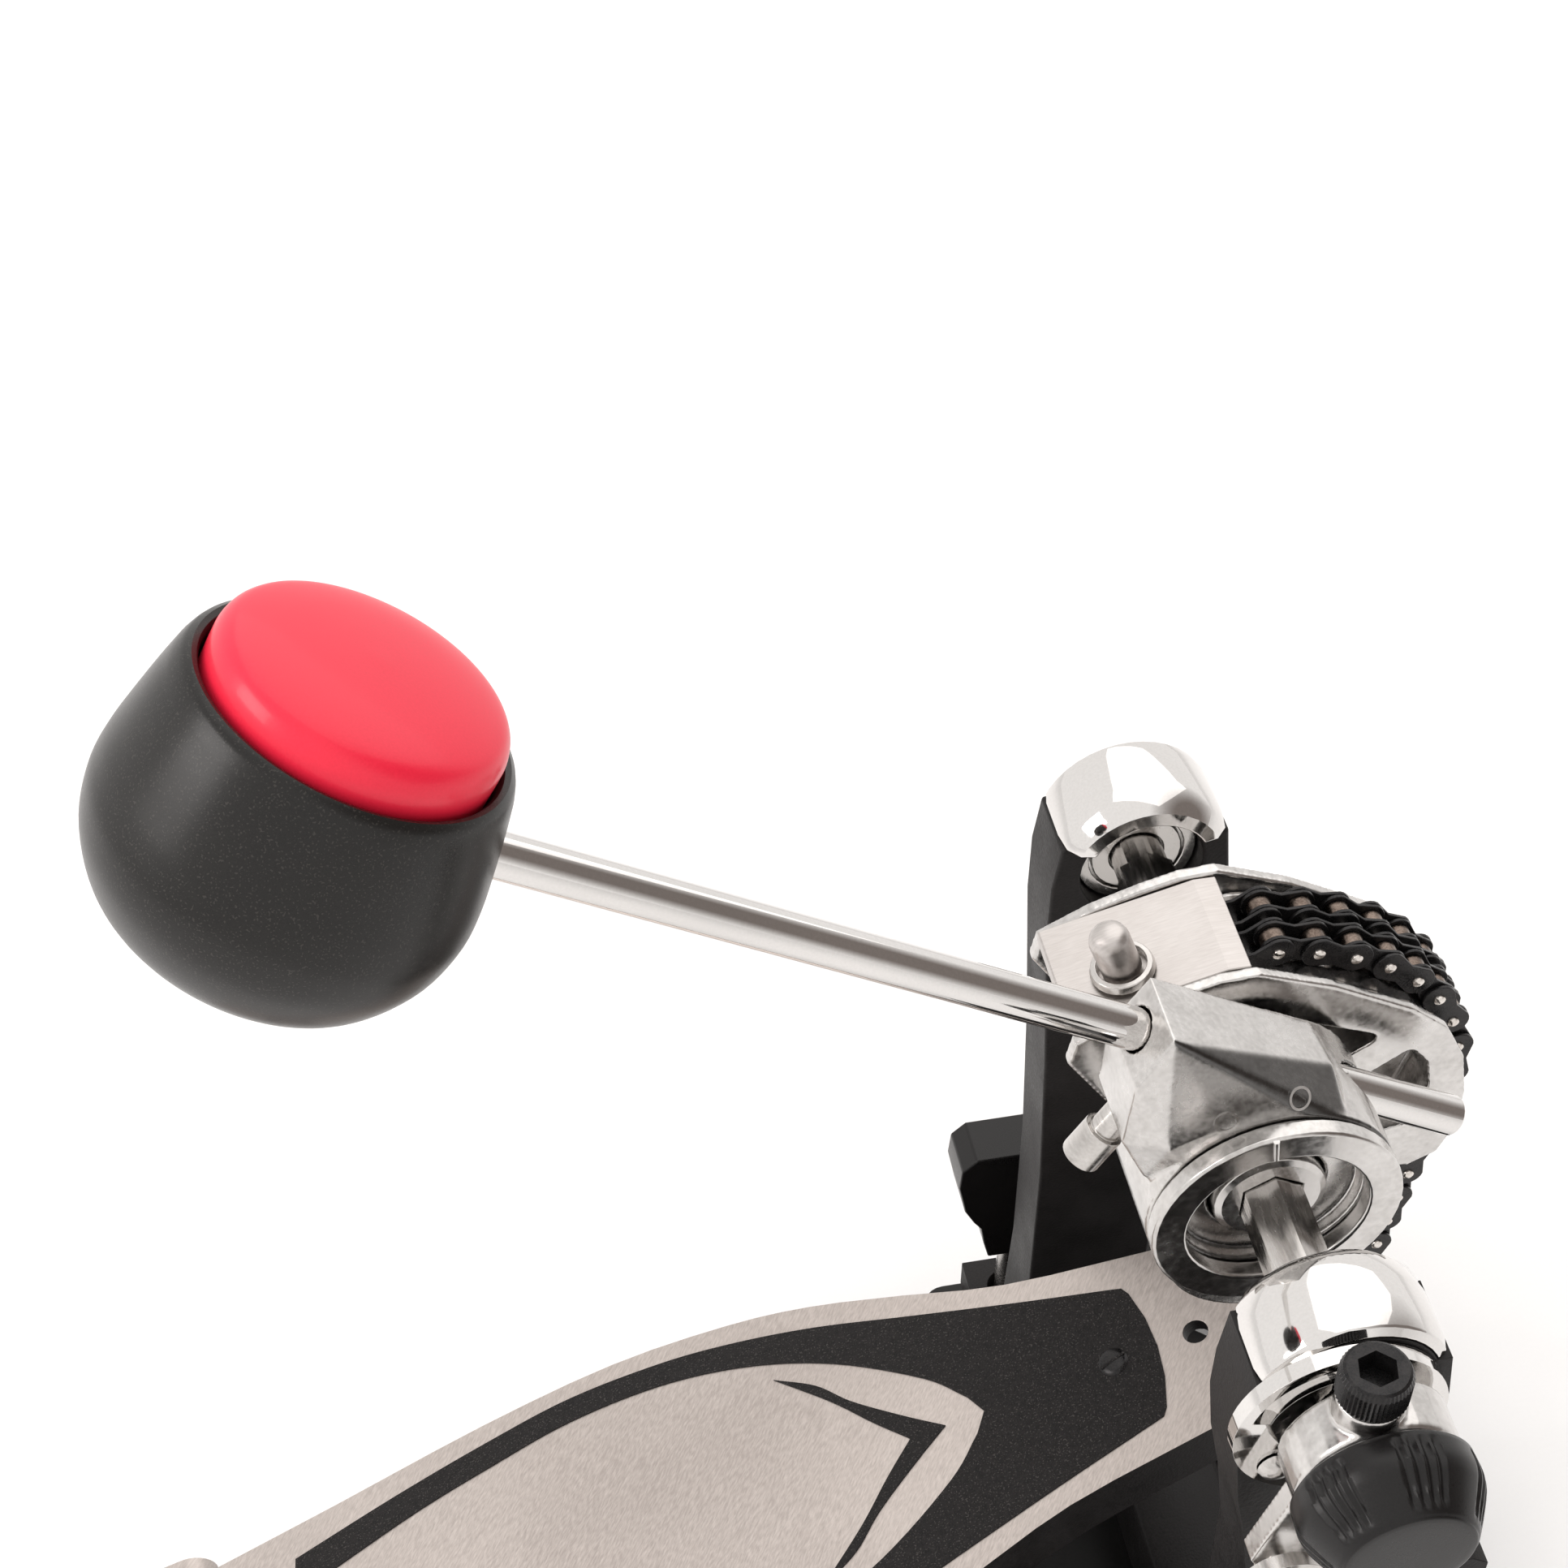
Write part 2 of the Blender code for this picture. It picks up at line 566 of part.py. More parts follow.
def make_hub():
    near, far = HUB_Y
    ring = near + 4.3
    hub = side_slab("beater_hub", arc((0, AXLE_Z), 24.0, 0, 352.5, 47), ring, far, cast_aluminium)
    block = [
        (41, 26.5, -36.8), (41, 26.5, -20.8), (2, 26.5, -31), (3.5, 26.5, -20.5), (41, 14, -37.5), (41, 13.5, -20.5),
        (29, 6, -41.6), (22, 13.6, -41.6), (11.4, 22.6, -41.6), (0.5, 23.6, -41.6), (25, -5.5, -38), (25, -5.5, -20.5),
        (-6, 20, -38), (-6, 20, -20.5), (0, -8, -41.6), (0, -8, -20.5), (34, 0.5, -37), (34, 0.5, -20.5),
    ]
    fuse(hub, hull("hub_block", [hub_point(*corner) for corner in block]))
    lobe = arc((2.5, AXLE_Z - 12), 21.5, 180, 360, 20) + [(2.5, AXLE_Z)]
    fuse(hub, side_slab("hub_lobe", lobe, ring + 0.6, far - 4))
    bore = cylinder("rod_bore", hub_point(-60, ROD_OFFSET), hub_point(60, ROD_OFFSET), ROD_RADIUS + GAP, segments=24)
    clearance = cylinder("hub_bore", (0, -60, AXLE_Z), (0, 0, AXLE_Z), 11.3, segments=32)
    recess = cylinder("hub_recess", (0, near - 1, AXLE_Z), (0, near + 7.5, AXLE_Z), 17.4, segments=40)
    key_bore = cylinder("key_bore", hub_point(30, -20), hub_point(30, ROD_OFFSET - 2), 3.0 + GAP, segments=20)
    cut(hub, bore, clearance, recess, key_bore)

    rim = [(24.0, 0.0), (24.0, 4.0), (17.4, 4.0), (17.4, 0.0)]
    flange = lathe("hub_index_ring", rim, (0, near, AXLE_Z), (0, 1, 0), cast_aluminium, 48, closed=True)

    boss_profile = [(10.9, 27.4), (10.9, 5.2), (9.5, 4.6), (4.0, 4.6), (4.0, 27.4)]
    boss = lathe("hub_boss", boss_profile, (0, near, AXLE_Z), (0, 1, 0), cast_aluminium, 32, closed=True)
    cut(boss, cylinder("boss_bore", (0, -60, AXLE_Z), (0, 0, AXLE_Z), HEX_RADIUS + GAP, segments=6))

    key = cylinder("hub_key_bolt", hub_point(30, ROD_OFFSET - ROD_RADIUS - GAP), hub_point(30, -6.5), 3.0, steel, 20)
    head = cylinder("key_head", hub_point(30, -6.0), hub_point(30, -14.0), 4.0)
    fuse(key, head)
    return boss, [hub, flange, key]


def make_rocker():
    """Clamp ring on the axle's outer end, its set screw, the arm to the spring, and the end cap."""
    y0, y1 = ROCKER_Y
    ring = lathe(
        "rocker_ring",
        [(15.2, y1 - y0), (15.2, 1.0), (14.2, 0.0), (JOURNAL_RADIUS + GAP, 0.0), (JOURNAL_RADIUS + GAP, y1 - y0)],
        (0, y0, AXLE_Z), (0, 1, 0), cast_aluminium, 40, closed=True,
    )
    ax, az = ROCKER_ARM
    along = Vector((ax, az)).normalized()
    side = Vector((-along.y, along.x))
    root, tip = along * 12, Vector((ax, az))
    arm = [root + side * 7.5, tip + side * 5.5, tip + along * 5.5, tip - side * 5.5, root - side * 7.5]
    outline = [(p.x, AXLE_Z + p.y) for p in arm]
    fuse(ring, side_slab("rocker_arm", outline, y0 + 5.4, y0 + 10.2))
    cut(ring, cylinder("arm_bore", (ax, y0 - 5, AXLE_Z + az), (ax, y1 + 5, AXLE_Z + az), 2.0 + GAP, segments=20))
    at = (-2.5, y0 + 6.4)
    boss = cylinder("screw_boss", (*at, AXLE_Z + 12), (*at, AXLE_Z + 17.6), 6.0, segments=28)
    fuse(ring, boss)
    cut(ring, cylinder("screw_bore", (*at, AXLE_Z + 4), (*at, AXLE_Z + 22), 4.0 + GAP, segments=24))
    screw = cylinder("rocker_screw", (*at, AXLE_Z + 6.2), (*at, AXLE_Z + 18.4), 4.0, black_steel)
    head = cylinder("screw_head", (*at, AXLE_Z + 17.9), (*at, AXLE_Z + 26.2), 6.4, segments=32)
    socket = cylinder("screw_socket", (*at, AXLE_Z + 21.5), (*at, AXLE_Z + 28), 3.75, segments=6)
    fuse(screw, head)
    cut(screw, socket)
    cup = [(0, -5.0), (9.0, -5.0), (9.0, -GAP), (16.4, -GAP), (16.6, -4.5), (15.8, -7.5), (12.4, -14.5), (10.4, -15.4),
           (0, -15.4)]
    cap = lathe("axle_end_cap", cup, (0, y0, AXLE_Z), (0, 1, 0), black_plastic, 40)
    pin = cylinder("rocker_pin", (ax, SPRING_Y - 6.5, AXLE_Z + az), (ax, y1 - 1, AXLE_Z + az), 2.0, steel, segments=20)
    pin_head = cylinder("rocker_pin_head", (ax, SPRING_Y - 5.0, AXLE_Z + az), (ax, SPRING_Y - 6.5, AXLE_Z + az), 3.6)
    fuse(pin, pin_head)
    return [ring, screw, cap, pin]


# The beater


def make_beater():
    low, high = ROD_REACH
    rod = cylinder("beater_rod", hub_point(low, ROD_OFFSET), hub_point(high, ROD_OFFSET), ROD_RADIUS, chrome)
    centre = Vector(hub_point(HEAD_ALONG, ROD_OFFSET))
    rod_line = Vector(hub_point(1, 0)) - Vector(hub_point(0, 0))
    strike = Vector(hub_point(0, 1)) - Vector(hub_point(0, 0))
    strike = Matrix.Rotation(HEAD_TWIST, 3, rod_line) @ strike
    barrel = [
        (0, -30.0), (9, -29.6), (18, -27.6), (25, -23.0), (29.6, -15.5), (31.2, -8.5), (31, -3.0), (30, 3.0),
        (28.6, 10.0), (27.3, 15.5), (26.3, 17.9), (25.2, 18.7), (24.3, 18.3), (23.9, 17.5), (23.9, 10.0), (0, 10.0),
    ]
    shell = lathe("beater_shell", barrel[::-1], centre, strike, black_plastic, 56)
    bore = cylinder("shell_bore", centre - rod_line * 40, centre - rod_line * (HEAD_ALONG - high - 0.6), ROD_RADIUS + GAP)
    cut(shell, bore)
    disc = [(0, 10.4), (23.3, 10.4), (23.4, 19.5), (23.3, 21.9), (22.4, 24.1), (20.4, 25.5), (15, 26.8), (8, 27.5), (0, 27.8)]
    face = lathe("beater_face", disc[::-1], centre, strike, red_plastic, 56)
    return rod, [shell, face], centre


# The chain


def link_block(name, start, end, stop, material=None):
    """A solid for one link: round about its own pin, and cut off square before the next one."""
    line = (end - start).normalized()
    side = Vector((-line.y, line.x)) * CHAIN_HALF_HEIGHT
    heading = math.degrees(math.atan2(line.y, line.x))
    outline = arc(start, CHAIN_HALF_HEIGHT, heading + 90, heading + 270, 8)
    outline += [tuple(start + line * stop - side), tuple(start + line * stop + side)]
    return side_slab(name, outline, -CHAIN_HALF_WIDTH, CHAIN_HALF_WIDTH, material)


def make_chain():
    pins = chain_pins(2 + FREE_LINKS + 1)
    stop = CHAIN_PITCH - CHAIN_HALF_HEIGHT - GAP
    lying = link_block("chain_wrapped", pins[0], pins[1], CHAIN_PITCH, black_steel)
    second = link_block("wrapped_second", pins[1], pins[2], stop)
    fuse(lying, second)
    links = []
    for number in range(FREE_LINKS):
        first = pins[2 + number]
        name = "chain_link_%d" % (number + 1)
        links.append(link_block(name, first, pins[3 + number], stop, black_steel))
    toe = Vector((TOE_PIN[0], AXLE_Z + TOE_PIN[1]))
    reach = (toe - pins[-1]).length - TOE_CLEARANCE
    strand = link_block("chain_strand", pins[-1], toe, reach, black_steel)
    return lying, links, strand, pins


# The return spring and its adjustable anchor


def make_spring_anchor():
    x = ROCKER_ARM[0]
    face = RIGHT_POST[1] - GAP
    bracket = box("spring_bracket", (x - 10, SPRING_Y - 8, 32), (x + 10, face, 41), black_cast, bevel=1.5)
    flange = box("bracket_flange", (x - 6.5, face - 4, 24), (x + 20, face, 49))
    bore = cylinder("bracket_bore", (x, SPRING_Y, 20), (x, SPRING_Y, 60), 3.0 + GAP, segments=20)
    cut(fuse(bracket, flange), bore)
    rod = cylinder("spring_rod", (x, SPRING_Y, 14), (x, SPRING_Y, SPRING_FOOT_Z), 3.0, steel, segments=20)
    eye = cylinder("rod_eye", (x, SPRING_Y - 2.4, SPRING_FOOT_Z), (x, SPRING_Y + 2.4, SPRING_FOOT_Z), 4.6)
    cross = cylinder("rod_cross", (x, SPRING_Y - 8, SPRING_FOOT_Z), (x, SPRING_Y + 8, SPRING_FOOT_Z), 2.0, segments=20)
    fuse(rod, eye, cross)
    for name, z in (("spring_nut_upper", 41 + GAP), ("spring_nut_lower", 26.5 - GAP)):
        nut = cylinder(name, (x, SPRING_Y, z), (x, SPRING_Y, z + 5.5), 6.2, steel, segments=6)
        cut(nut, cylinder(name + "_bore", (x, SPRING_Y, z - 2), (x, SPRING_Y, z + 8), 3.0 + GAP, segments=20))


def make_spring():
    """The coil with its yoke about the anchor's cross pin, and the long hook round the rocker's pin."""
    x, z = ROCKER_ARM[0], SPRING_FOOT_Z
    yoke = cylinder("spring_yoke", (x, SPRING_Y, z + 6.0), (x, SPRING_Y, z + 8.4), 7.0, steel, segments=28)
    for side, a, b in (("left", 3.4, 6.0), ("right", -6.0, -3.4)):
        cheek = [(x - 4, z + 7), (x + 4, z + 7)] + arc((x, z), 4.0, 0, -180, 10)
        fuse(yoke, side_slab("cheek_" + side, cheek, SPRING_Y + a, SPRING_Y + b))
    cut(yoke, cylinder("yoke_bore", (x, SPRING_Y - 10, z), (x, SPRING_Y + 10, z), 2.0 + GAP, segments=20))

    low = z + 8.4 + GAP + SPRING_WIRE_RADIUS
    top = AXLE_Z + ROCKER_ARM[1] - 15.0
    count = SPRING_TURNS * 12
    coil = []
    for i in range(count + 1):
        turn = 2 * math.pi * i / 12
        height = low + (top - low) * i / count
        coil.append((x + SPRING_COIL_RADIUS * math.cos(turn), SPRING_Y + SPRING_COIL_RADIUS * math.sin(turn), height))
    spring = wire("spring", coil, SPRING_WIRE_RADIUS, steel)

    seat = top + SPRING_WIRE_RADIUS + GAP
    eye_z = AXLE_Z + ROCKER_ARM[1]
    hook = cylinder("spring_hook", (x, SPRING_Y, seat), (x, SPRING_Y, seat + 2.2), 6.8, steel, segments=28)
    ring = side_slab("hook_loop", arc((x, eye_z), 8.6, 0, 348, 29), SPRING_Y - 1.4, SPRING_Y + 1.4)
    stem = cylinder("hook_stem", (x, SPRING_Y, seat + 1), (x, SPRING_Y, eye_z - 7.0), 2.2, segments=16)
    hole = cylinder("hook_hole", (x, SPRING_Y - 5, eye_z), (x, SPRING_Y + 5, eye_z), 6.2, segments=28)
    cut(fuse(hook, ring, stem), hole)
    return yoke, spring, hook


# The hoop clamp


def make_clamp():
    px, pz = CLAMP_PIVOT
    jaw = [(36, 19), (36, 30), (41, 33), (56, 33), (80, 29), (84, 26), (84, 22.5), (58, 22.5), (50, 19)]
    lever = side_slab("clamp_lever", jaw, -26, 26, black_cast)
    cross = box("lever_cross", (51, 20, 10.0), (63, 92, 32.5))
    back = box("lever_back", (-18, 72, 9.5), (62, 91.5, 18.0))
    relief = box("lever_relief", (50, 18, 8), (64, 38, 22.5))
    fuse(lever, cross, back)
    cut(lever, relief)
    x, y = CLAMP_SCREW_AT
    hole = cylinder("screw_hole", (x, y, 5), (x, y, 50), 5.2)
    cut(lever, cylinder("pivot_bore", (px, -40, pz), (px, 40, pz), 3.0 + GAP, segments=20), hole)
    box("clamp_jaw_pad", (59, -24, 19.7), (82, 24, 22.5 - GAP), rubber, bevel=0.6)
    box("hoop_pad", (56, -27, BASE_HIGH + GAP), (80, 27, 8.8), rubber, bevel=0.6)

    screw = cylinder("clamp_screw", (x, y, BASE_HIGH + GAP), (x, y, 64), 3.5, steel, segments=20)
    left = [(-13, 81), (-16.5, 77.5), (-17, 71), (-15, 61), (-12.5, 56), (-10.5, 53), (-9.5, 47), (-8, 41)]
    lying = left + [(-dx, z) for dx, z in reversed(left)]
    handle = side_slab("clamp_t_handle", [(x + dx, z) for dx, z in lying], y - 6.5, y + 6.5, black_plastic)
    cut(handle, cylinder("handle_bore", (x, y, 38), (x, y, 66), 3.5 + GAP, segments=20))
    return [lever, parts.objects["clamp_jaw_pad"]], [handle, screw]


clear_scene()
parts = new_collection(OBJECT_NAME)
cutters = new_collection("cutters")

black_paint = new_material("black_paint", (0.012, 0.012, 0.013), 0.0, 0.5)
black_cast = new_material("black_cast", (0.016, 0.015, 0.016), 0.1, 0.55)
black_plastic = new_material("black_plastic", (0.012, 0.011, 0.011), 0.0, 0.35)
black_steel = new_material("black_steel", (0.02, 0.018, 0.017), 0.8, 0.35)
red_plastic = new_material("red_plastic", (0.85, 0.02, 0.05), 0.0, 0.3)
rubber = new_material("rubber", (0.02, 0.02, 0.02), 0.0, 0.8)
chrome = new_material("chrome", (0.8, 0.79, 0.78), 1.0, 0.06)
steel = new_material("steel", (0.6, 0.59, 0.57), 1.0, 0.25)
polished_steel = new_material("polished_steel", (0.72, 0.7, 0.68), 1.0, 0.18)
brushed_steel = new_material("brushed_steel", (0.66, 0.6, 0.56), 1.0, 0.35)
cast_aluminium = new_material("cast_aluminium", (0.68, 0.67, 0.66), 1.0, 0.28)

make_base()
make_post("left_post", LEFT_POST)
make_post("right_post", RIGHT_POST, RIGHT_POST_REAR)
make_cap("left_post_cap", LEFT_POST[0] - 3.5, LEFT_POST[1] + 1.0)
make_cap("right_post_cap", RIGHT_POST[0] + 3.5, RIGHT_POST[1])
left_ring = make_bearing("left", LEFT_POST[0] + 4.6, LEFT_POST[0] + 12.6)
right_ring = make_bearing("right", RIGHT_POST[0] - 4.6, RIGHT_POST[0] - 12.6)
make_side_disc()
make_heel()
make_bridge()
make_spring_anchor()
board_parts = make_footboard()
boss, hub_parts = make_hub()
beater_rod, head_parts, head_centre = make_beater()
lying_links, links, strand, pins = make_chain()
yoke, spring, hook = make_spring()
lever_parts, handle_parts = make_clamp()

axle_parts = [make_axle(), left_ring, right_ring, make_cam(), boss, lying_links]
axle_parts += make_chain_plate() + make_rocker()
pivot("axle_pivot", (0, 0, AXLE_Z), axle_parts)
pivot("hub_pivot", (0, ROD_Y, AXLE_Z), hub_parts)
pivot("beater_rod_pivot", hub_point(15, ROD_OFFSET), [beater_rod])
pivot("beater_head_pivot", head_centre, head_parts)
for number, link in enumerate(links):
    pivot("chain_pivot_%d" % (number + 1), (pins[2 + number].x, 0, pins[2 + number].y), [link])
pivot("strand_pivot", (pins[-1].x, 0, pins[-1].y), [strand])
pivot("footboard_pivot", (board_point(-BOARD_HINGE_RUN, 0)[0], 0, HINGE_Z), board_parts)
pivot("spring_foot_pivot", (ROCKER_ARM[0], SPRING_Y, SPRING_FOOT_Z), [yoke, spring])
pivot("spring_hook_pivot", (ROCKER_ARM[0], SPRING_Y, AXLE_Z + ROCKER_ARM[1]), [hook])
pivot("clamp_pivot", (CLAMP_PIVOT[0], 0, CLAMP_PIVOT[1]), lever_parts)
pivot("clamp_handle_pivot", (*CLAMP_SCREW_AT, BASE_HIGH), handle_parts)
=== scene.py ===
"""Looks for the bass drum pedal: materials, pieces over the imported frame, floor, light and camera."""

import json
import math

import bmesh
import bpy
from mathutils import Matrix, Vector
from mathutils.bvhtree import BVHTree


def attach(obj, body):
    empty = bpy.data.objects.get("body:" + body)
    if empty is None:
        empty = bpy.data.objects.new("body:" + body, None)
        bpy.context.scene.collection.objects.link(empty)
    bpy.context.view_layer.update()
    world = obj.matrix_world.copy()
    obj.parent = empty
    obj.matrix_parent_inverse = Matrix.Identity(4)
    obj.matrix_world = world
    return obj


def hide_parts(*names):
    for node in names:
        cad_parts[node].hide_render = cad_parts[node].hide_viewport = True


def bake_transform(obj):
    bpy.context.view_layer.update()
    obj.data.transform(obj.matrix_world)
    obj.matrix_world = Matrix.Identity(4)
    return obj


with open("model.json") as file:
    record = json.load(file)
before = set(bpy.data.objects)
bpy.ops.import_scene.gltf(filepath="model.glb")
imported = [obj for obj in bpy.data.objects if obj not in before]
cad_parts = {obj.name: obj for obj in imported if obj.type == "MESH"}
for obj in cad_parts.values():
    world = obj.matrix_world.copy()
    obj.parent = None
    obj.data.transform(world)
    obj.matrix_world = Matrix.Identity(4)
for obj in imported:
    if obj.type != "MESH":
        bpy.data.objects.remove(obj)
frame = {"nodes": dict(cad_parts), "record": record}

MM = 0.001
WELD = 0.0005  # millimetres between corners that count as one

AXLE_Z = 208.0
BEATER_LEAN = math.radians(30.6)
BOARD_SLOPE = math.radians(21.0)
BOARD_TOP_Z = 102.3  # where the footboard's top face passes below the axle
HUB_Y = -27.2
ROCKER_Y = -97.6
END_CAP_Y = -104.0
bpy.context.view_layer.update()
nodes = frame["nodes"]
bpy.context.scene.view_settings.view_transform = "Standard"


# Materials


def node_material(name):
    material = bpy.data.materials.new(name)
    material.use_nodes = True
    return material, material.node_tree.nodes, material.node_tree.links


def finish(name, colours, metallic=0.0, rough=(0.3, 0.4), coarse=60.0, fine=900.0, stretch=(1, 1, 1),
           bump=0.1, depth=0.05, coat=0.0, speckle=None, turn=(0, 0, 0), second=None, specular=0.5):
    """Procedural surface: a coarse and a fine noise drive its colour, its roughness and its relief.

    Depths are in millimetres. A speckle is its colour, its scale and the noise level where it starts.
    A second relief, from the coarse noise, is its strength and its depth.
    """
    material, made, links = node_material(name)
    shader = made["Principled BSDF"]
    shader.inputs["Metallic"].default_value = metallic
    shader.inputs["Coat Weight"].default_value = coat
    shader.inputs["Coat Roughness"].default_value = 0.08
    shader.inputs["Specular IOR Level"].default_value = specular
    place = made.new("ShaderNodeTexCoord")
    mapping = made.new("ShaderNodeMapping")
    mapping.vector_type = "TEXTURE"
    mapping.inputs["Scale"].default_value = [1 / part for part in stretch]
    mapping.inputs["Rotation"].default_value = turn
    links.new(place.outputs["Object"], mapping.inputs["Vector"])

    broad = made.new("ShaderNodeTexNoise")
    broad.inputs["Scale"].default_value = coarse
    broad.inputs["Detail"].default_value = 4.0
    links.new(place.outputs["Object"], broad.inputs["Vector"])
    grain = made.new("ShaderNodeTexNoise")
    grain.inputs["Scale"].default_value = fine
    grain.inputs["Detail"].default_value = 3.0
    links.new(mapping.outputs["Vector"], grain.inputs["Vector"])

    mix = made.new("ShaderNodeMath")
    mix.operation = "MULTIPLY_ADD"
    mix.inputs[1].default_value = 0.5
    links.new(broad.outputs["Fac"], mix.inputs[0])
    half = made.new("ShaderNodeMath")
    half.operation = "MULTIPLY"
    half.inputs[1].default_value = 0.5
    links.new(grain.outputs["Fac"], half.inputs[0])
    links.new(half.outputs[0], mix.inputs[2])

    ramp = made.new("ShaderNodeValToRGB")
    ramp.color_ramp.elements[0].position = 0.36
    ramp.color_ramp.elements[1].position = 0.64
    ramp.color_ramp.elements[0].color = (*colours[0], 1)
    ramp.color_ramp.elements[1].color = (*colours[1], 1)
    links.new(mix.outputs[0], ramp.inputs["Fac"])
    colour = ramp.outputs["Color"]
    if speckle:
        spots = made.new("ShaderNodeTexNoise")
        spots.inputs["Scale"].default_value = speckle[1]
        spots.inputs["Detail"].default_value = 0.0
        links.new(place.outputs["Object"], spots.inputs["Vector"])
        edge = made.new("ShaderNodeMapRange")
        edge.inputs["From Min"].default_value = speckle[2]
        edge.inputs["From Max"].default_value = speckle[2] + 0.08
        links.new(spots.outputs["Fac"], edge.inputs["Value"])
        over = made.new("ShaderNodeMix")
        over.data_type = "RGBA"
        over.inputs["B"].default_value = (*speckle[0], 1)
        links.new(edge.outputs["Result"], over.inputs["Factor"])
        links.new(colour, over.inputs["A"])
        colour = over.outputs["Result"]
    links.new(colour, shader.inputs["Base Color"])

    level = made.new("ShaderNodeMapRange")
    level.inputs["From Min"].default_value = 0.35
    level.inputs["From Max"].default_value = 0.65
    level.inputs["To Min"].default_value = rough[0]
    level.inputs["To Max"].default_value = rough[1]
    links.new(mix.outputs[0], level.inputs["Value"])
    links.new(level.outputs["Result"], shader.inputs["Roughness"])

    relief = made.new("ShaderNodeBump")
    relief.inputs["Strength"].default_value = bump
    relief.inputs["Distance"].default_value = depth * MM
    links.new(grain.outputs["Fac"], relief.inputs["Height"])
    normal = relief.outputs["Normal"]
    if second:
        swell = made.new("ShaderNodeBump")
        swell.inputs["Strength"].default_value = second[0]
        swell.inputs["Distance"].default_value = second[1] * MM
        links.new(broad.outputs["Fac"], swell.inputs["Height"])
        links.new(normal, swell.inputs["Normal"])
        normal = swell.outputs["Normal"]
    links.new(normal, shader.inputs["Normal"])
    return material


LOOKS = {
    "black_paint": finish("satin_black_paint", ((0.008, 0.0075, 0.0075), (0.014, 0.013, 0.013)),
                          rough=(0.38, 0.52), fine=1400, bump=0.25, depth=0.04, specular=0.25),
    "black_cast": finish("black_powder_coat", ((0.008, 0.0072, 0.0072), (0.020, 0.018, 0.018)),
                         rough=(0.42, 0.6), coarse=90, fine=1500, bump=0.7, depth=0.12, second=(0.35, 0.3),
                         specular=0.22),
    "black_plastic": finish("black_moulding", ((0.007, 0.0065, 0.0065), (0.011, 0.010, 0.010)),
                            rough=(0.26, 0.36), fine=2400, bump=0.3, depth=0.03, specular=0.3),
    "black_steel": finish("black_steel", ((0.010, 0.010, 0.011), (0.03, 0.028, 0.028)), metallic=0.6,
                          rough=(0.22, 0.36), coarse=300, fine=2500, bump=0.15, depth=0.02),
    "red_plastic": finish("red_disc", ((0.86, 0.016, 0.05), (0.92, 0.022, 0.06)), rough=(0.3, 0.36),
                          coarse=30, fine=2600, bump=0.12, depth=0.02, coat=0.15, specular=0.35),
    "rubber": finish("ribbed_rubber", ((0.014, 0.014, 0.014), (0.03, 0.03, 0.03)), rough=(0.7, 0.85),
                     coarse=120, fine=1200, stretch=(1, 0.1, 1), bump=0.6, depth=0.2),
    "chrome": finish("bright_chrome", ((0.70, 0.685, 0.67), (0.76, 0.745, 0.73)), metallic=1.0,
                     rough=(0.03, 0.08), coarse=25, fine=1800, bump=0.02, depth=0.01),
    "steel": finish("turned_steel", ((0.50, 0.48, 0.46), (0.66, 0.64, 0.62)), metallic=1.0, rough=(0.16, 0.3),
                    coarse=120, fine=1500, stretch=(1, 0.15, 1), bump=0.1, depth=0.02),
    "polished_steel": finish("polished_plate", ((0.48, 0.45, 0.43), (0.60, 0.57, 0.55)), metallic=1.0,
                             rough=(0.3, 0.42), coarse=60, fine=900, stretch=(0.25, 3, 1), bump=0.1,
                             depth=0.02),
    "brushed_steel": finish("brushed_board", ((0.40, 0.355, 0.33), (0.60, 0.545, 0.51)), metallic=0.85,
                            rough=(0.36, 0.5), coarse=8, fine=420, stretch=(0.1, 6, 6),
                            turn=(0, 0, math.radians(51)), bump=0.25, depth=0.05),
    "cast_aluminium": finish("polished_casting", ((0.52, 0.505, 0.49), (0.70, 0.685, 0.67)), metallic=1.0,
                             rough=(0.13, 0.28), coarse=70, fine=700, bump=0.12, depth=0.05,
                             second=(0.25, 0.5)),
}


def paint_dark_reflection(material, direction, low, high, share):
    """Paints a dark reflection into the base colour: darkens the faces that look in a direction of the
    object's own, with a gradual change.
    """
    made, links = material.node_tree.nodes, material.node_tree.links
    shader = made["Principled BSDF"]
    source = shader.inputs["Base Color"].links[0].from_socket
    place = made.new("ShaderNodeTexCoord")
    facing = made.new("ShaderNodeVectorMath")
    facing.operation = "DOT_PRODUCT"
    facing.inputs[1].default_value = Vector(direction).normalized()
    links.new(place.outputs["Normal"], facing.inputs[0])
    amount = made.new("ShaderNodeMapRange")
    amount.inputs["From Min"].default_value = low
    amount.inputs["From Max"].default_value = high
    links.new(facing.outputs["Value"], amount.inputs["Value"])
    mix = made.new("ShaderNodeMix")
    mix.data_type = "RGBA"
    mix.blend_type = "MULTIPLY"
    mix.inputs["B"].default_value = (share, share, share, 1)
    links.new(amount.outputs["Result"], mix.inputs["Factor"])
    links.new(source, mix.inputs["A"])
    links.new(mix.outputs["Result"], shader.inputs["Base Color"])
    return material


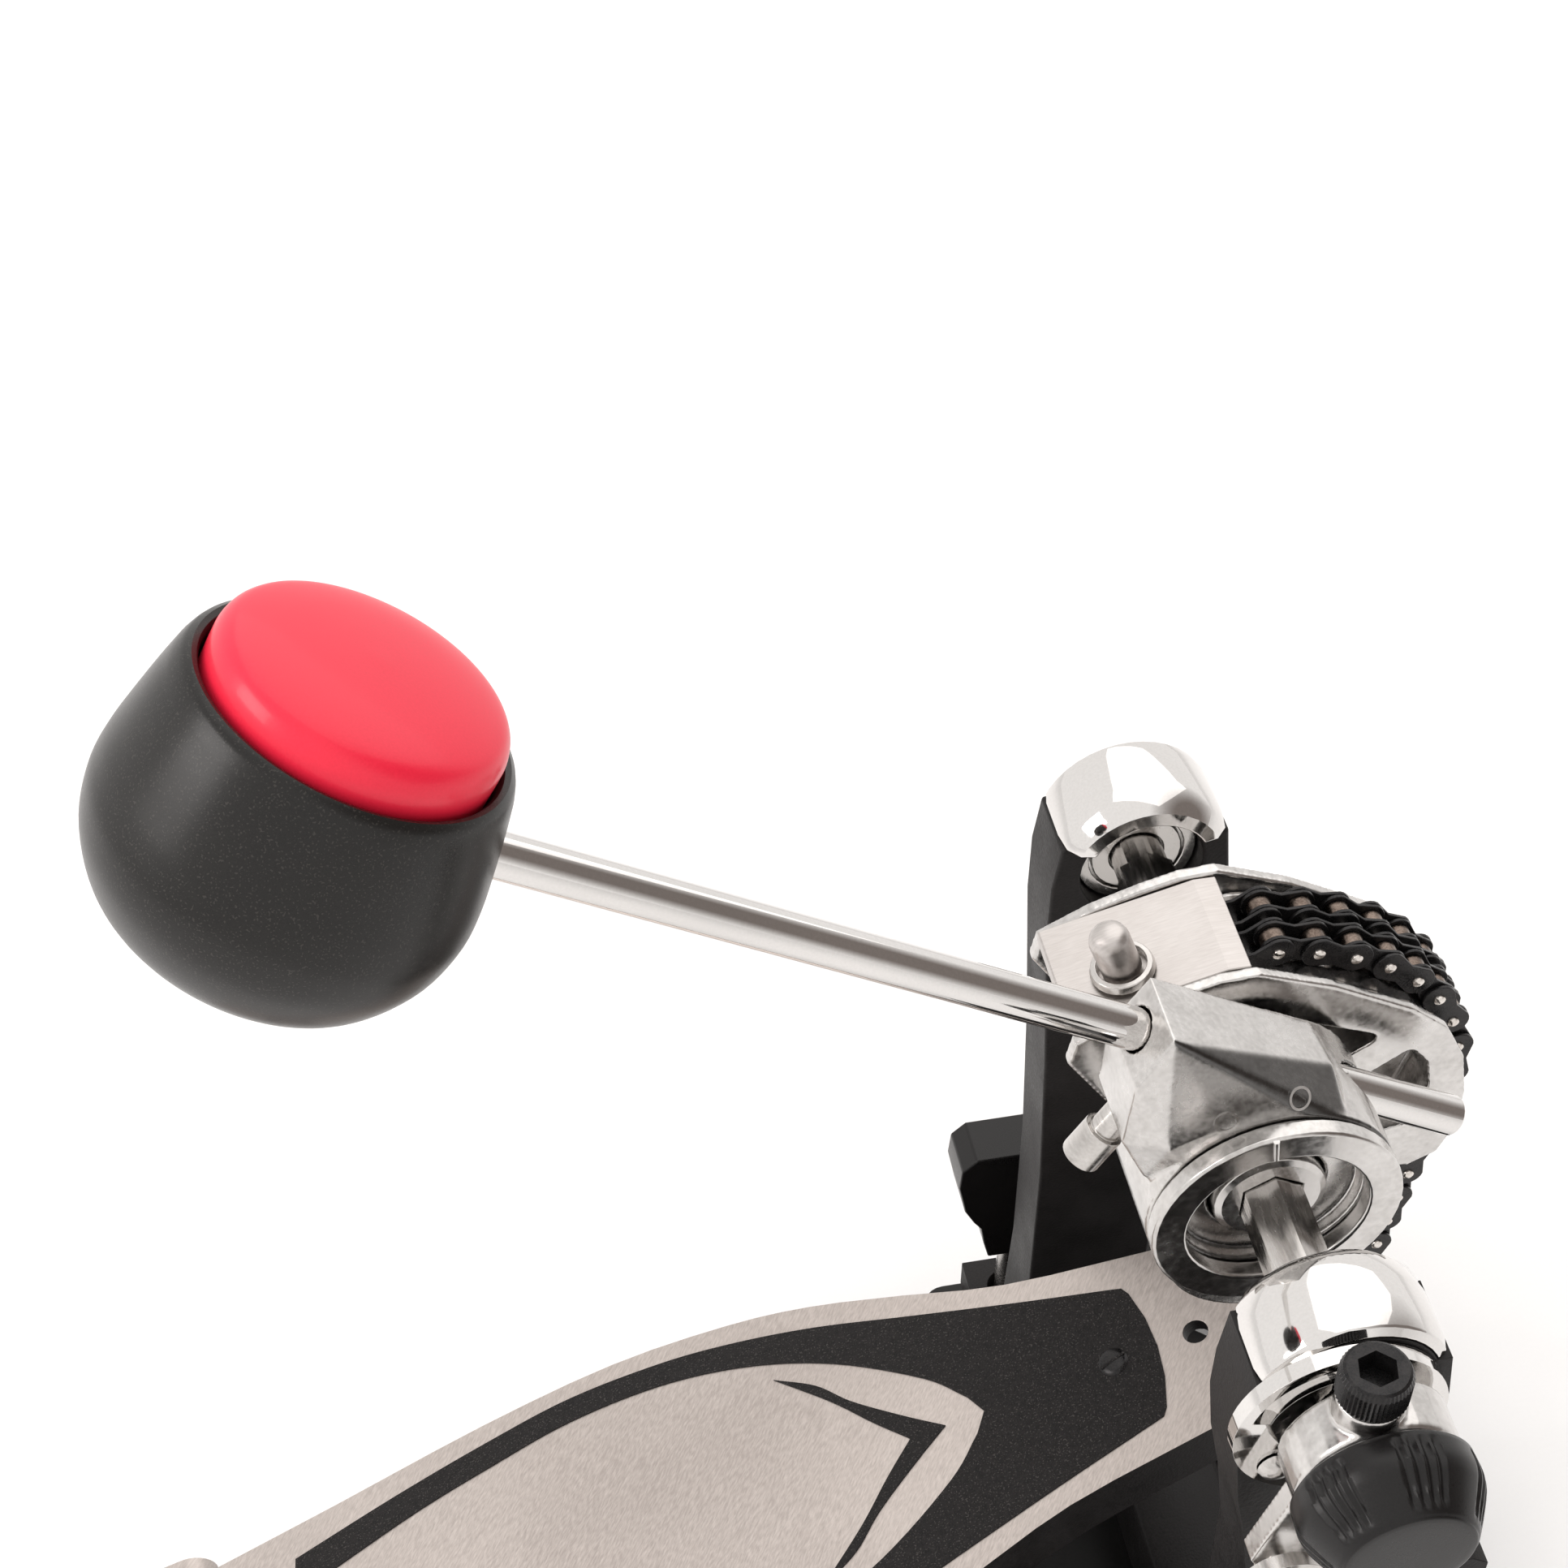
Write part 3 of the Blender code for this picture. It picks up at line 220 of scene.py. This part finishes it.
HUB = finish("polished_hub_painted_reflection", ((0.52, 0.505, 0.49), (0.70, 0.685, 0.67)), metallic=1.0, rough=(0.16, 0.3),
             coarse=120, fine=900, bump=0.14, depth=0.06, second=(0.3, 0.4))
# Painted reflection: the hub's faces turned toward this direction get a darker base colour, standing in for
# the dark studio mirrored in its facet.
paint_dark_reflection(HUB, (0.36, -0.70, 0.62), 0.74, 0.88, 0.2)
GRIP = finish("gritty_grip", ((0.006, 0.0055, 0.0055), (0.022, 0.020, 0.020)), rough=(0.6, 0.85), coarse=700,
              fine=2200, bump=1.0, depth=0.3, speckle=((0.05, 0.046, 0.044), 2600, 0.66), specular=0.2)
BEATER = finish("pearly_black_shell", ((0.008, 0.0072, 0.0068), (0.013, 0.012, 0.011)), rough=(0.26, 0.34),
                specular=0.35, coarse=40, fine=3200, bump=0.4, depth=0.02,
                speckle=((0.035, 0.032, 0.029), 3000, 0.66))
ROLLER = finish("oiled_rollers", ((0.10, 0.075, 0.062), (0.24, 0.19, 0.16)), metallic=1.0, rough=(0.2, 0.35),
                coarse=400, fine=2400, bump=0.1, depth=0.02)
PIN = finish("bright_pins", ((0.62, 0.58, 0.54), (0.8, 0.76, 0.72)), metallic=1.0, rough=(0.14, 0.24),
             coarse=400, fine=2400, bump=0.05, depth=0.02)


# Mesh helpers, in millimetres


def points_at(direction):
    """A turn that takes Z to a direction."""
    return Vector((0, 0, 1)).rotation_difference(Vector(direction).normalized()).to_matrix().to_4x4()


def piece(name, shape, material, body, stands_for=(), bevel=0.0, angle=32.0, segments=2):
    """Turns a bmesh in millimetres into an object that rides on a body."""
    bmesh.ops.remove_doubles(shape, verts=shape.verts, dist=WELD)
    bmesh.ops.recalc_face_normals(shape, faces=shape.faces)
    bmesh.ops.scale(shape, vec=(MM, MM, MM), verts=shape.verts)
    mesh = bpy.data.meshes.new(name)
    shape.to_mesh(mesh)
    shape.free()
    mesh.materials.append(material)
    made = bpy.data.objects.new(name, mesh)
    bpy.context.scene.collection.objects.link(made)
    soften(made, bevel, angle, segments)
    if body:
        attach(made, body)
    if stands_for:
        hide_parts(*stands_for)
    return made


def soften(made, bevel, angle, segments):
    """Smooth shading between the sharp edges, and a small bevel along them."""
    made.data.shade_smooth()
    made.data.set_sharp_from_angle(angle=math.radians(angle))
    if bevel:
        edge = made.modifiers.new("edges", "BEVEL")
        edge.width = bevel * MM
        edge.segments = segments
        edge.limit_method = "ANGLE"
        edge.angle_limit = math.radians(angle)
        edge.use_clamp_overlap = True
        edge.harden_normals = True


def lathe(profile, base, direction, steps, closed=False):
    """A turned shape from its radii and heights, standing on a base and pointing in a direction."""
    shape = bmesh.new()
    corners = [shape.verts.new((r, 0, h)) for r, h in profile]
    last = len(corners)
    spans = range(last if closed else last - 1)
    edges = [shape.edges.new((corners[i], corners[(i + 1) % last])) for i in spans]
    bmesh.ops.spin(shape, geom=corners + edges, angle=2 * math.pi, steps=steps, axis=(0, 0, 1),
                   cent=(0, 0, 0))
    bmesh.ops.remove_doubles(shape, verts=shape.verts, dist=WELD)
    placed = Matrix.Translation(Vector(base)) @ points_at(direction)
    bmesh.ops.transform(shape, matrix=placed, verts=shape.verts)
    return shape


def merge(*shapes):
    """One bmesh out of several."""
    whole = bmesh.new()
    for shape in shapes:
        mesh = bpy.data.meshes.new("part")
        shape.to_mesh(mesh)
        shape.free()
        whole.from_mesh(mesh)
        bpy.data.meshes.remove(mesh)
    return whole


def rod(start, end, radius, segments=32):
    """A round bar between two points."""
    start, end = Vector(start), Vector(end)
    shape = bmesh.new()
    bmesh.ops.create_cone(shape, cap_ends=True, segments=segments, radius1=radius, radius2=radius,
                          depth=(end - start).length)
    matrix = Matrix.Translation((start + end) / 2) @ points_at(end - start)
    bmesh.ops.transform(shape, matrix=matrix, verts=shape.verts)
    return shape


def thickened(corners, push):
    """A slab: the face through the corners, pushed along a vector."""
    shape = bmesh.new()
    face = shape.faces.new([shape.verts.new(corner) for corner in corners])
    side = bmesh.ops.extrude_face_region(shape, geom=[face])
    moved = [v for v in side["geom"] if isinstance(v, bmesh.types.BMVert)]
    bmesh.ops.translate(shape, vec=push, verts=moved)
    return shape


def spline(stations, steps=6):
    """A smooth line through the stations, as tuples."""
    points = [Vector(s) for s in stations]
    padded = [2 * points[0] - points[1]] + points + [2 * points[-1] - points[-2]]
    curve = []
    for i in range(1, len(padded) - 2):
        p0, p1, p2, p3 = padded[i - 1 : i + 3]
        for k in range(steps):
            t = k / steps
            value = 2 * p1 + (p2 - p0) * t + (2 * p0 - 5 * p1 + 4 * p2 - p3) * t * t
            curve.append(tuple((value + (3 * p1 - p0 - 3 * p2 + p3) * t**3) / 2))
    curve.append(tuple(points[-1]))
    return curve


def hub_point(along, out, y):
    """A point given along the beater rod and out from the axle, square to it."""
    x = -along * math.cos(BEATER_LEAN) + out * math.sin(BEATER_LEAN)
    z = along * math.sin(BEATER_LEAN) + out * math.cos(BEATER_LEAN)
    return Vector((x, y, AXLE_Z + z))


def board_point(run, side, lift):
    """A point given along the footboard, across it and up from its top face."""
    x = run * math.cos(BOARD_SLOPE) - lift * math.sin(BOARD_SLOPE)
    z = BOARD_TOP_Z + run * math.sin(BOARD_SLOPE) + lift * math.cos(BOARD_SLOPE)
    return (x, side, z)


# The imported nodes, welded and with softened edges: the bevel's width, and the angle that counts as an edge

EDGES = {
    "base_plate": (0.7, 30), "left_post": (1.8, 30), "right_post": (1.8, 30), "left_post_cap": (0.35, 40),
    "right_post_cap": (0.35, 40), "left_bearing_outer_ring": (0.3, 30), "right_bearing_outer_ring": (0.3, 30),
    "left_bearing_inner_ring": (0.3, 30), "right_bearing_inner_ring": (0.3, 30), "side_disc": (0.7, 30),
    "side_disc_screw": (0.0, 50), "heel_plate": (0.8, 30), "heel_pin": (0.4, 30), "front_bridge": (0.6, 30),
    "clamp_pivot_pin": (0.5, 30), "hoop_pad": (0.0, 30), "clamp_jaw_pad": (0.0, 30),
    "base_mat_front": (0.6, 30), "base_mat_heel": (0.6, 30), "spring_bracket": (0.5, 30),
    "spring_rod": (0.4, 30), "spring_nut_upper": (0.5, 30),
    "spring_nut_lower": (0.5, 30), "hex_axle": (0.35, 30), "cam": (0.8, 30), "hub_boss": (0.4, 30),
    "chain_plate": (0.35, 20), "stud_collar": (0.25, 30), "chain_stud": (0.0, 60), "rocker_ring": (0.8, 30),
    "rocker_pin": (0.4, 30), "beater_hub": (1.3, 13), "hub_index_ring": (0.8, 30), "hub_key_bolt": (0.5, 30),
    "beater_rod": (0.5, 30), "footboard": (1.1, 30), "footboard_hinge": (0.4, 30), "toe_bracket": (0.5, 30),
    "toe_pin": (0.4, 30), "spring_yoke": (0.35, 30), "spring_hook": (0.5, 30), "clamp_lever": (1.4, 30),
    "clamp_t_handle": (3.2, 30), "clamp_screw": (0.4, 30),
}
slot_of = {entry["node"]: entry["material_slot"] for entry in frame["record"]["subparts"]}
body_of = {node: body for body, members in frame["record"]["behaviour"]["bodies"].items() for node in members}
for name, cad in nodes.items():
    cad.data.materials.clear()
    cad.data.materials.append(LOOKS[slot_of[name]])


def welded(name):
    """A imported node's mesh in millimetres, its corners joined and its flat faces whole."""
    shape = bmesh.new()
    shape.from_mesh(nodes[name].data)
    bmesh.ops.transform(shape, matrix=nodes[name].matrix_world, verts=shape.verts)
    bmesh.ops.scale(shape, vec=(1 / MM, 1 / MM, 1 / MM), verts=shape.verts)
    bmesh.ops.remove_doubles(shape, verts=shape.verts, dist=0.002)
    bmesh.ops.dissolve_limit(shape, angle_limit=math.radians(0.6), verts=shape.verts, edges=shape.edges)
    return shape


def cast(made, grain, passes):
    """Rounds every edge of a casting a little, as sand and polish do."""
    made.modifiers.clear()
    skin = made.modifiers.new("skin", "REMESH")
    skin.mode = "VOXEL"
    skin.voxel_size = grain * MM
    skin.use_smooth_shade = True
    worn = made.modifiers.new("worn", "SMOOTH")
    worn.factor = 0.5
    worn.iterations = passes


remade = {}
for name, (width, angle) in EDGES.items():
    look, body = LOOKS[slot_of[name]], body_of[name]
    remade[name] = piece(name + "_finished", welded(name), look, body, [name], width, angle, 3)

cast(remade["beater_hub"], 0.42, 9)
# The hub wears the material with the painted dark reflection on its facet.
remade["beater_hub"].data.materials[0] = HUB
cast(remade["cam"], 0.42, 5)
cast(remade["rocker_ring"], 0.4, 5)


# The footboard: black walls and the grit band

board = remade["footboard"]
board.data.materials.append(LOOKS["black_cast"])
up = Vector((-math.sin(BOARD_SLOPE), 0, math.cos(BOARD_SLOPE)))
for polygon in board.data.polygons:
    polygon.material_index = 0 if polygon.normal.dot(up) > 0.9 else 1


def board_sheet(outline, low, high):
    """A thin layer on the footboard, between two heights above its top face."""
    return thickened([board_point(s, w, low) for s, w in outline], up * (high - low))


GRIP_LOW, GRIP_TOP, CHEVRON_TOP = 0.02, 0.32, 0.3  # above the board's face
GRIP_OUTER = [(-212, 29.5), (-185, 36), (-160, 41), (-137, 44.4), (-113, 44.4), (-94, 42.2), (-74, 38),
              (-52, 31.5), (-28, 24.5), (-5, 18.2)]
GRIP_INNER = [(-205, 22), (-180, 29.5), (-160, 34), (-138, 38), (-114, 38.4), (-92, 34.5), (-71.6, 26.5),
              (-52.2, 14), (-43.5, 5)]
GRIP_NOSE = [(-2.6, 17.5), (-1.4, 15.5), (0.4, 8.0), (1.0, 0.0)]
GRIP_TIP = [(-40.6, 0.0)]


def both_sides(half, top):
    """The same sheet on the board's left and right half."""
    other = [(s, -w) for s, w in half][::-1]
    return merge(board_sheet(half, GRIP_LOW, top), board_sheet(other, GRIP_LOW, top))


side_band = spline(GRIP_OUTER) + GRIP_NOSE + GRIP_TIP + spline(GRIP_INNER)[::-1]
heel_strip = [(-212, 29.5), (-205, 22), (-203, 12), (-202, 0), (-203, -12), (-205, -22), (-212, -29.5),
              (-214, -12), (-215, 0), (-214, 12)]
grip = merge(both_sides(side_band, GRIP_TOP), board_sheet(heel_strip, GRIP_LOW, GRIP_TOP))
piece("grip_band", grip, GRIP, "pedal_board")
chevron = spline([(-86.6, 28.3), (-77, 22.5), (-69.7, 15), (-59, 6.5), (-50, 0)])
back = spline([(-58.6, 0), (-66, 7.5), (-74.5, 17), (-86.6, 28.3)])[:-1]
piece("grip_chevron", both_sides(chevron + back, CHEVRON_TOP), GRIP, "pedal_board")

screw_top = Vector(board_point(-9.5, 0, 0.34))
head = lathe([(0, 0.62), (2.2, 0.55), (3.1, 0.35), (3.45, 0.0), (3.45, -0.3), (0, -0.3)], screw_top, up, 48)
piece("board_screw_head", head, LOOKS["black_steel"], "pedal_board", ["board_screw"], angle=40.0)
# Painted shade: a thin dark sheet laid over the screw head where its slot is, standing in for the slot's
# recess and the shade in it.
slot = board_sheet([(-12.6, -1.3), (-6.2, 0.7), (-6.4, 1.3), (-12.8, -0.7)], 0.9, 1.02)
piece("board_screw_slot_shade", slot, GRIP, "pedal_board")


# The chain: plates, rollers and pins for each link

PITCH = 8.3
ROW = 4.125  # from the chain's middle to the middle of each of its two rows
PLATE_END, PLATE_WAIST, PLATE_THICK = 3.35, 2.35, 0.78
INNER_PLATE, OUTER_PLATE = 1.95, 2.85  # from the middle of a row
ROLLER_RADIUS, ROLLER_HALF = 2.5, 1.5
PIN_RADIUS, PIN_HALF, PIN_HEAD = 1.2, 7.2, 7.4
FREE_LINKS = 6
HANGING_LINKS = 9


def chain_pins():
    """Pins a pitch apart along the ellipse that the chain lies on, from the cam's top."""
    (cx, cz), (rx, rz) = (0.5, -13.0), (50.0, 42.5)

    def at(turn):
        return Vector((cx + rx * math.sin(turn), 0, AXLE_Z + cz + rz * math.cos(turn)))

    turn = math.asin((PITCH - cx) / rx)
    pins = [at(turn)]
    while len(pins) < FREE_LINKS + 3:
        step = 0.001
        while (at(turn + step) - pins[-1]).length < PITCH:
            step += 0.0005
        turn += step
        pins.append(at(turn))
    return pins


def link_plate(a, b, y):
    """A waisted side plate round two pins."""
    line = (b - a).normalized()
    across = Vector((-line.z, 0, line.x))
    middle = a + line * ((b - a).length / 2)
    outline = []
    for pin, first, waist in ((a, math.pi / 2, -PLATE_WAIST), (b, -math.pi / 2, PLATE_WAIST)):
        for k in range(13):
            t = first + math.pi * k / 12
            outline.append(pin + line * (PLATE_END * math.cos(t)) + across * (PLATE_END * math.sin(t)))
        outline.append(middle + across * waist)
    return thickened([(p.x, y - PLATE_THICK / 2, p.z) for p in outline], (0, PLATE_THICK, 0))


def crossbar(centre, y, half, radius, segments=32):
    """A round bar across the chain, about a pin's centre and a distance along Y."""
    return rod(centre + Vector((0, y - half, 0)), centre + Vector((0, y + half, 0)), radius, segments)


def link(name, pairs, body, stands_for, first_kind):
    """Links between pairs of pins, inner ones with rollers and outer ones with riveted pins by turns."""
    plates, rollers, pins = [], [], []
    dome = [(0, 0.75), (0.7, 0.62), (1.15, 0.3), (1.25, 0.0), (1.25, -0.4)]
    for number, (a, b) in enumerate(pairs):
        inner_kind = (number + first_kind) % 2 == 0
        reach = INNER_PLATE if inner_kind else OUTER_PLATE
        for centre in (-ROW, ROW):
            plates += [link_plate(a, b, centre + side * reach) for side in (-1, 1)]
            if inner_kind:
                rollers += [crossbar(end, centre, ROLLER_HALF, ROLLER_RADIUS) for end in (a, b)]
        if not inner_kind:
            for end in (a, b):
                for side in (-1, 1):
                    pins.append(lathe(dome, end + Vector((0, side * PIN_HEAD, 0)), (0, side, 0), 20))
                pins.append(crossbar(end, 0, PIN_HALF, PIN_RADIUS, 16))
    piece(name + "_plates", merge(*plates), LOOKS["black_steel"], body, stands_for, bevel=0.16)
    if rollers:
        piece(name + "_rollers", merge(*rollers), ROLLER, body, bevel=0.2)
    if pins:
        piece(name + "_pins", merge(*pins), PIN, body)


pins = chain_pins()
tail = pins[0] + Vector((-7.6, 0, -3.0))
on_cam = [(tail, pins[0]), (pins[0], pins[1]), (pins[1], pins[2])]
link("chain_on_cam", on_cam, "axle", ["chain_wrapped"], 1)
for number in range(FREE_LINKS):
    ends = [(pins[2 + number], pins[3 + number])]
    link("chain_%d" % (number + 1), ends, "link_%d" % (number + 1), ["chain_link_%d" % (number + 1)], number)
toe = Vector((41.5, 0, AXLE_Z - 85.0 + 0.5))
steps = [pins[8] + (toe - pins[8]) * k / HANGING_LINKS for k in range(HANGING_LINKS + 1)]
link("chain_hanging", list(zip(steps, steps[1:])), "strand", ["chain_strand"], 0)


# The spring, a coil from its yoke up to its hook

COIL_RADIUS, WIRE_RADIUS = 6.2, 1.1
x, y = -12.6, -103.0
low, top = 58 + 8.4 + 0.3 + 1.1, 208 - 31.6 - 15.0
turns, around = 17, 24
route = []
for i in range(turns * around + 1):
    turn = 2 * math.pi * i / around
    height = low + (top - low) * i / (turns * around)
    route.append((COIL_RADIUS * math.cos(turn) + x, COIL_RADIUS * math.sin(turn) + y, height))
curve = bpy.data.curves.new("coil", "CURVE")
curve.dimensions = "3D"
curve.bevel_depth = WIRE_RADIUS * MM
curve.bevel_resolution = 4
curve.use_fill_caps = True
line = curve.splines.new("POLY")
line.points.add(len(route) - 1)
for point, place in zip(line.points, route):
    point.co = (*(Vector(place) * MM), 1.0)
holder = bpy.data.objects.new("coil_curve", curve)
bpy.context.scene.collection.objects.link(holder)
bpy.context.view_layer.update()
coil_mesh = bpy.data.meshes.new_from_object(holder.evaluated_get(bpy.context.evaluated_depsgraph_get()))
bpy.data.objects.remove(holder, do_unlink=True)
bpy.data.curves.remove(curve)
coil = bpy.data.objects.new("return_spring", coil_mesh)
bpy.context.scene.collection.objects.link(coil)
coil_mesh.materials.clear()
coil_mesh.materials.append(LOOKS["steel"])
coil_mesh.shade_smooth()
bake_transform(coil)
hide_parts("spring")


# The beater head: shell with its parting line, and the red disc

rod_line = (hub_point(1, 0, 0) - hub_point(0, 0, 0)).normalized()
strike = (hub_point(0, 1, 0) - hub_point(0, 0, 0)).normalized()
strike = Matrix.Rotation(math.radians(5.0), 3, rod_line) @ strike
centre = hub_point(200, 19, HUB_Y)
shell = [(0, -30.0), (9, -29.6), (18, -27.6), (25, -23.0), (29.6, -15.5), (31.2, -8.5), (31, -3.0),
         (30, 3.0), (28.6, 10.0), (27.3, 15.5)]
rim = [(26.7, 17.1), (26.2, 18.0), (25.3, 18.6), (24.4, 18.3), (23.9, 17.5), (23.8, 10.0), (0, 10.0)]
turned_shell = lathe(spline(shell) + rim, centre, strike, 128)
piece("beater_head_shell", turned_shell, BEATER, "head", ["beater_shell"])
disc_floor = [(0, 10.4), (23.2, 10.4)]
disc = [(23.4, 19.5), (23.3, 21.9), (22.4, 24.1), (20.4, 25.5), (15, 26.8), (8, 27.5), (0, 27.8)]
turned_disc = lathe(disc_floor + spline(disc, 5), centre, strike, 128)
piece("beater_head_disc", turned_disc, LOOKS["red_plastic"], "head", ["beater_face"])


# The socket screw on the rocker: knurled head and hexagonal socket

KNURLS, KNURL_DEPTH = 48, 0.32
KNURL_LOW, KNURL_TOP = 18.2, 24.6
SOCKET_RADIUS, SOCKET_DEPTH, SOCKET_TURN = 3.7, 4.6, 0.3
at = Vector((-2.5, ROCKER_Y, AXLE_Z))
knurl = bmesh.new()


def knurl_corner(radius, turn, height):
    return knurl.verts.new(at + Vector((radius * math.cos(turn), radius * math.sin(turn), height)))


rings = []
for height, radius in ((17.9, 5.9), (18.6, 6.4), (24.0, 6.4), (25.2, 5.8), (25.5, 5.3)):
    bite = KNURL_DEPTH if KNURL_LOW < height < KNURL_TOP else 0.0
    corners = [(radius - bite * (k % 2), math.pi * k / KNURLS) for k in range(KNURLS * 2)]
    rings.append([knurl_corner(reach, turn, height) for reach, turn in corners])
for lower, upper in zip(rings, rings[1:]):
    for k in range(KNURLS * 2):
        j = (k + 1) % (KNURLS * 2)
        knurl.faces.new((lower[k], lower[j], upper[j], upper[k]))
knurl.faces.new(rings[0][::-1])
hexagon = [knurl_corner(SOCKET_RADIUS, math.pi * k / 3 + SOCKET_TURN, 25.4) for k in range(6)]
floor_ring = [knurl.verts.new(v.co - Vector((0, 0, SOCKET_DEPTH))) for v in hexagon]
for k in range(6):
    j = (k + 1) % 6
    knurl.faces.new((hexagon[k], floor_ring[k], floor_ring[j], hexagon[j]))
knurl.faces.new(floor_ring)
per_side = KNURLS * 2 // 6
for k in range(6):
    j = (k + 1) % 6
    start = round((math.pi * k / 3 + SOCKET_TURN) / (math.pi / KNURLS))
    fan = [rings[-1][(start + i) % (KNURLS * 2)] for i in range(per_side + 1)]
    knurl.faces.new([hexagon[k]] + fan + [hexagon[j]])
shank = rod(at + Vector((0, 0, 6.2)), at + Vector((0, 0, 18.0)), 3.9, 32)
piece("rocker_cap_screw", merge(knurl, shank), LOOKS["black_steel"], "axle", ["rocker_screw"], angle=24.0)


# The end cap with its flutes

FLUTE_TURNS, FLUTE_HALF, FLUTE_DEPTH = (9, 17, 25, 33), 2.2, 0.85  # degrees in each sixth, degrees, mm
cap_seat = [(0, -5.0), (9.0, -5.0), (9.0, -0.3), (15.9, -0.3)]
cap_outside = [(16.4, -0.8), (16.6, -4.5), (16.3, -6.6), (15.5, -8.6), (12.9, -13.6), (12.0, -14.8),
               (10.4, -15.3), (0, -15.4)]
cap = lathe(cap_seat + spline(cap_outside, 4), (0, END_CAP_Y, AXLE_Z), (0, 1, 0), 180)
for vert in cap.verts:
    dx, dz = vert.co.x, vert.co.z - AXLE_Z
    radius = math.hypot(dx, dz)
    depth = END_CAP_Y - vert.co.y
    if radius > 10 and 2.5 < depth < 13:
        turn = math.degrees(math.atan2(dz, dx)) % 60.0
        near = min(abs(turn - t) for t in FLUTE_TURNS)
        if near < FLUTE_HALF:
            pull = 1.0 - FLUTE_DEPTH / radius * math.cos(near / FLUTE_HALF * math.pi / 2)
            vert.co.x, vert.co.z = dx * pull, AXLE_Z + dz * pull
piece("fluted_end_cap", cap, LOOKS["black_plastic"], "axle", ["axle_end_cap"], angle=50.0)


# The hub: ejector rings, index ticks

surface = BVHTree.FromBMesh(welded("beater_hub"))
for number, (along, out) in enumerate(((22.5, 15.4), (12.0, 24.4))):
    hit, normal, _, _ = surface.ray_cast(hub_point(along, out, -60.0), Vector((0, 1, 0)))
    ring = lathe([(2.3, 0.02), (2.3, 0.22), (1.8, 0.22), (1.8, 0.02)], hit, normal, 40, closed=True)
    piece("hub_mark_%d" % (number + 1), ring, LOOKS["cast_aluminium"], "hub_clamp")
ticks = []
for k in range(-2, 3):
    turn = math.radians(90 + 9 * k)
    spot = Vector((14.4 * math.cos(turn), -38.85, AXLE_Z + 14.4 * math.sin(turn)))
    out = Vector((math.cos(turn), 0, math.sin(turn)))
    ticks.append(rod(spot - out * 1.6, spot + out * 1.6, 0.35, 8))
piece("hub_ticks", merge(*ticks), LOOKS["cast_aluminium"], "hub_clamp")
tick = rod((-3, -46.3, AXLE_Z + 18.4), (-3.6, -46.3, AXLE_Z + 23.4), 0.6, 12)
piece("hub_index_tick", tick, LOOKS["cast_aluminium"], "hub_clamp")


# Floor, light and camera

floor_mesh = bpy.data.meshes.new("floor")
sheet = bmesh.new()
bmesh.ops.create_grid(sheet, x_segments=1, y_segments=1, size=6.0)
sheet.to_mesh(floor_mesh)
sheet.free()
floor = bpy.data.objects.new("floor", floor_mesh)
floor.location.z = -0.0004
PALE = finish("pale_floor", ((0.96, 0.96, 0.96), (0.98, 0.98, 0.98)), rough=(0.7, 0.8), bump=0.02)
floor_mesh.materials.append(PALE)
bpy.context.scene.collection.objects.link(floor)


def area_light(name, place, aim, size, power, colour):
    data = bpy.data.lights.new(name, "AREA")
    data.shape = "RECTANGLE"
    data.size, data.size_y = size
    data.energy = power
    data.color = colour
    lamp = bpy.data.objects.new(name, data)
    lamp.location = place
    lamp.rotation_euler = (Vector(aim) - Vector(place)).to_track_quat("-Z", "Y").to_euler()
    bpy.context.scene.collection.objects.link(lamp)


area_light("key", (0.3, 0.6, 1.35), (-0.05, 0, 0.2), (1.7, 1.7), 6.5, (1.0, 0.97, 0.95))
area_light("side", (-1.1, -0.1, 0.9), (-0.1, 0, 0.25), (0.6, 0.6), 5.0, (1.0, 0.96, 0.94))

world = bpy.data.worlds.new("studio")
world.use_nodes = True
bpy.context.scene.world = world
made, links = world.node_tree.nodes, world.node_tree.links
place = made.new("ShaderNodeTexCoord")
toward = made.new("ShaderNodeVectorMath")
toward.operation = "DOT_PRODUCT"
toward.inputs[1].default_value = Vector((0.85, -0.30, 0.43)).normalized()
links.new(place.outputs["Generated"], toward.inputs[0])
ramp = made.new("ShaderNodeValToRGB")
ramp.color_ramp.elements[0].position = 0.66
ramp.color_ramp.elements[0].color = (1.0, 0.975, 0.955, 1)
ramp.color_ramp.elements[1].position = 0.95
ramp.color_ramp.elements[1].color = (0.22, 0.19, 0.175, 1)
links.new(toward.outputs["Value"], ramp.inputs["Fac"])
room = made["Background"]
room.inputs["Strength"].default_value = 1.05
links.new(ramp.outputs["Color"], room.inputs["Color"])

camera_data = bpy.data.cameras.new("camera")
camera_data.sensor_width = 36.0
camera_data.lens = 65.22
camera_data.shift_y = 0.16667
camera_data.shift_x = 0.001
camera_data.clip_start = 0.01
camera = bpy.data.objects.new("camera", camera_data)
azimuth, elevation = math.radians(10.99), math.radians(48.875)
level = math.cos(elevation)
ahead = Vector((math.sin(azimuth) * level, math.cos(azimuth) * level, -math.sin(elevation)))
camera.location = (-0.1509, -0.3433, 0.6236)
camera.rotation_euler = ahead.to_track_quat("-Z", "Y").to_euler()
bpy.context.scene.collection.objects.link(camera)
bpy.context.scene.camera = camera
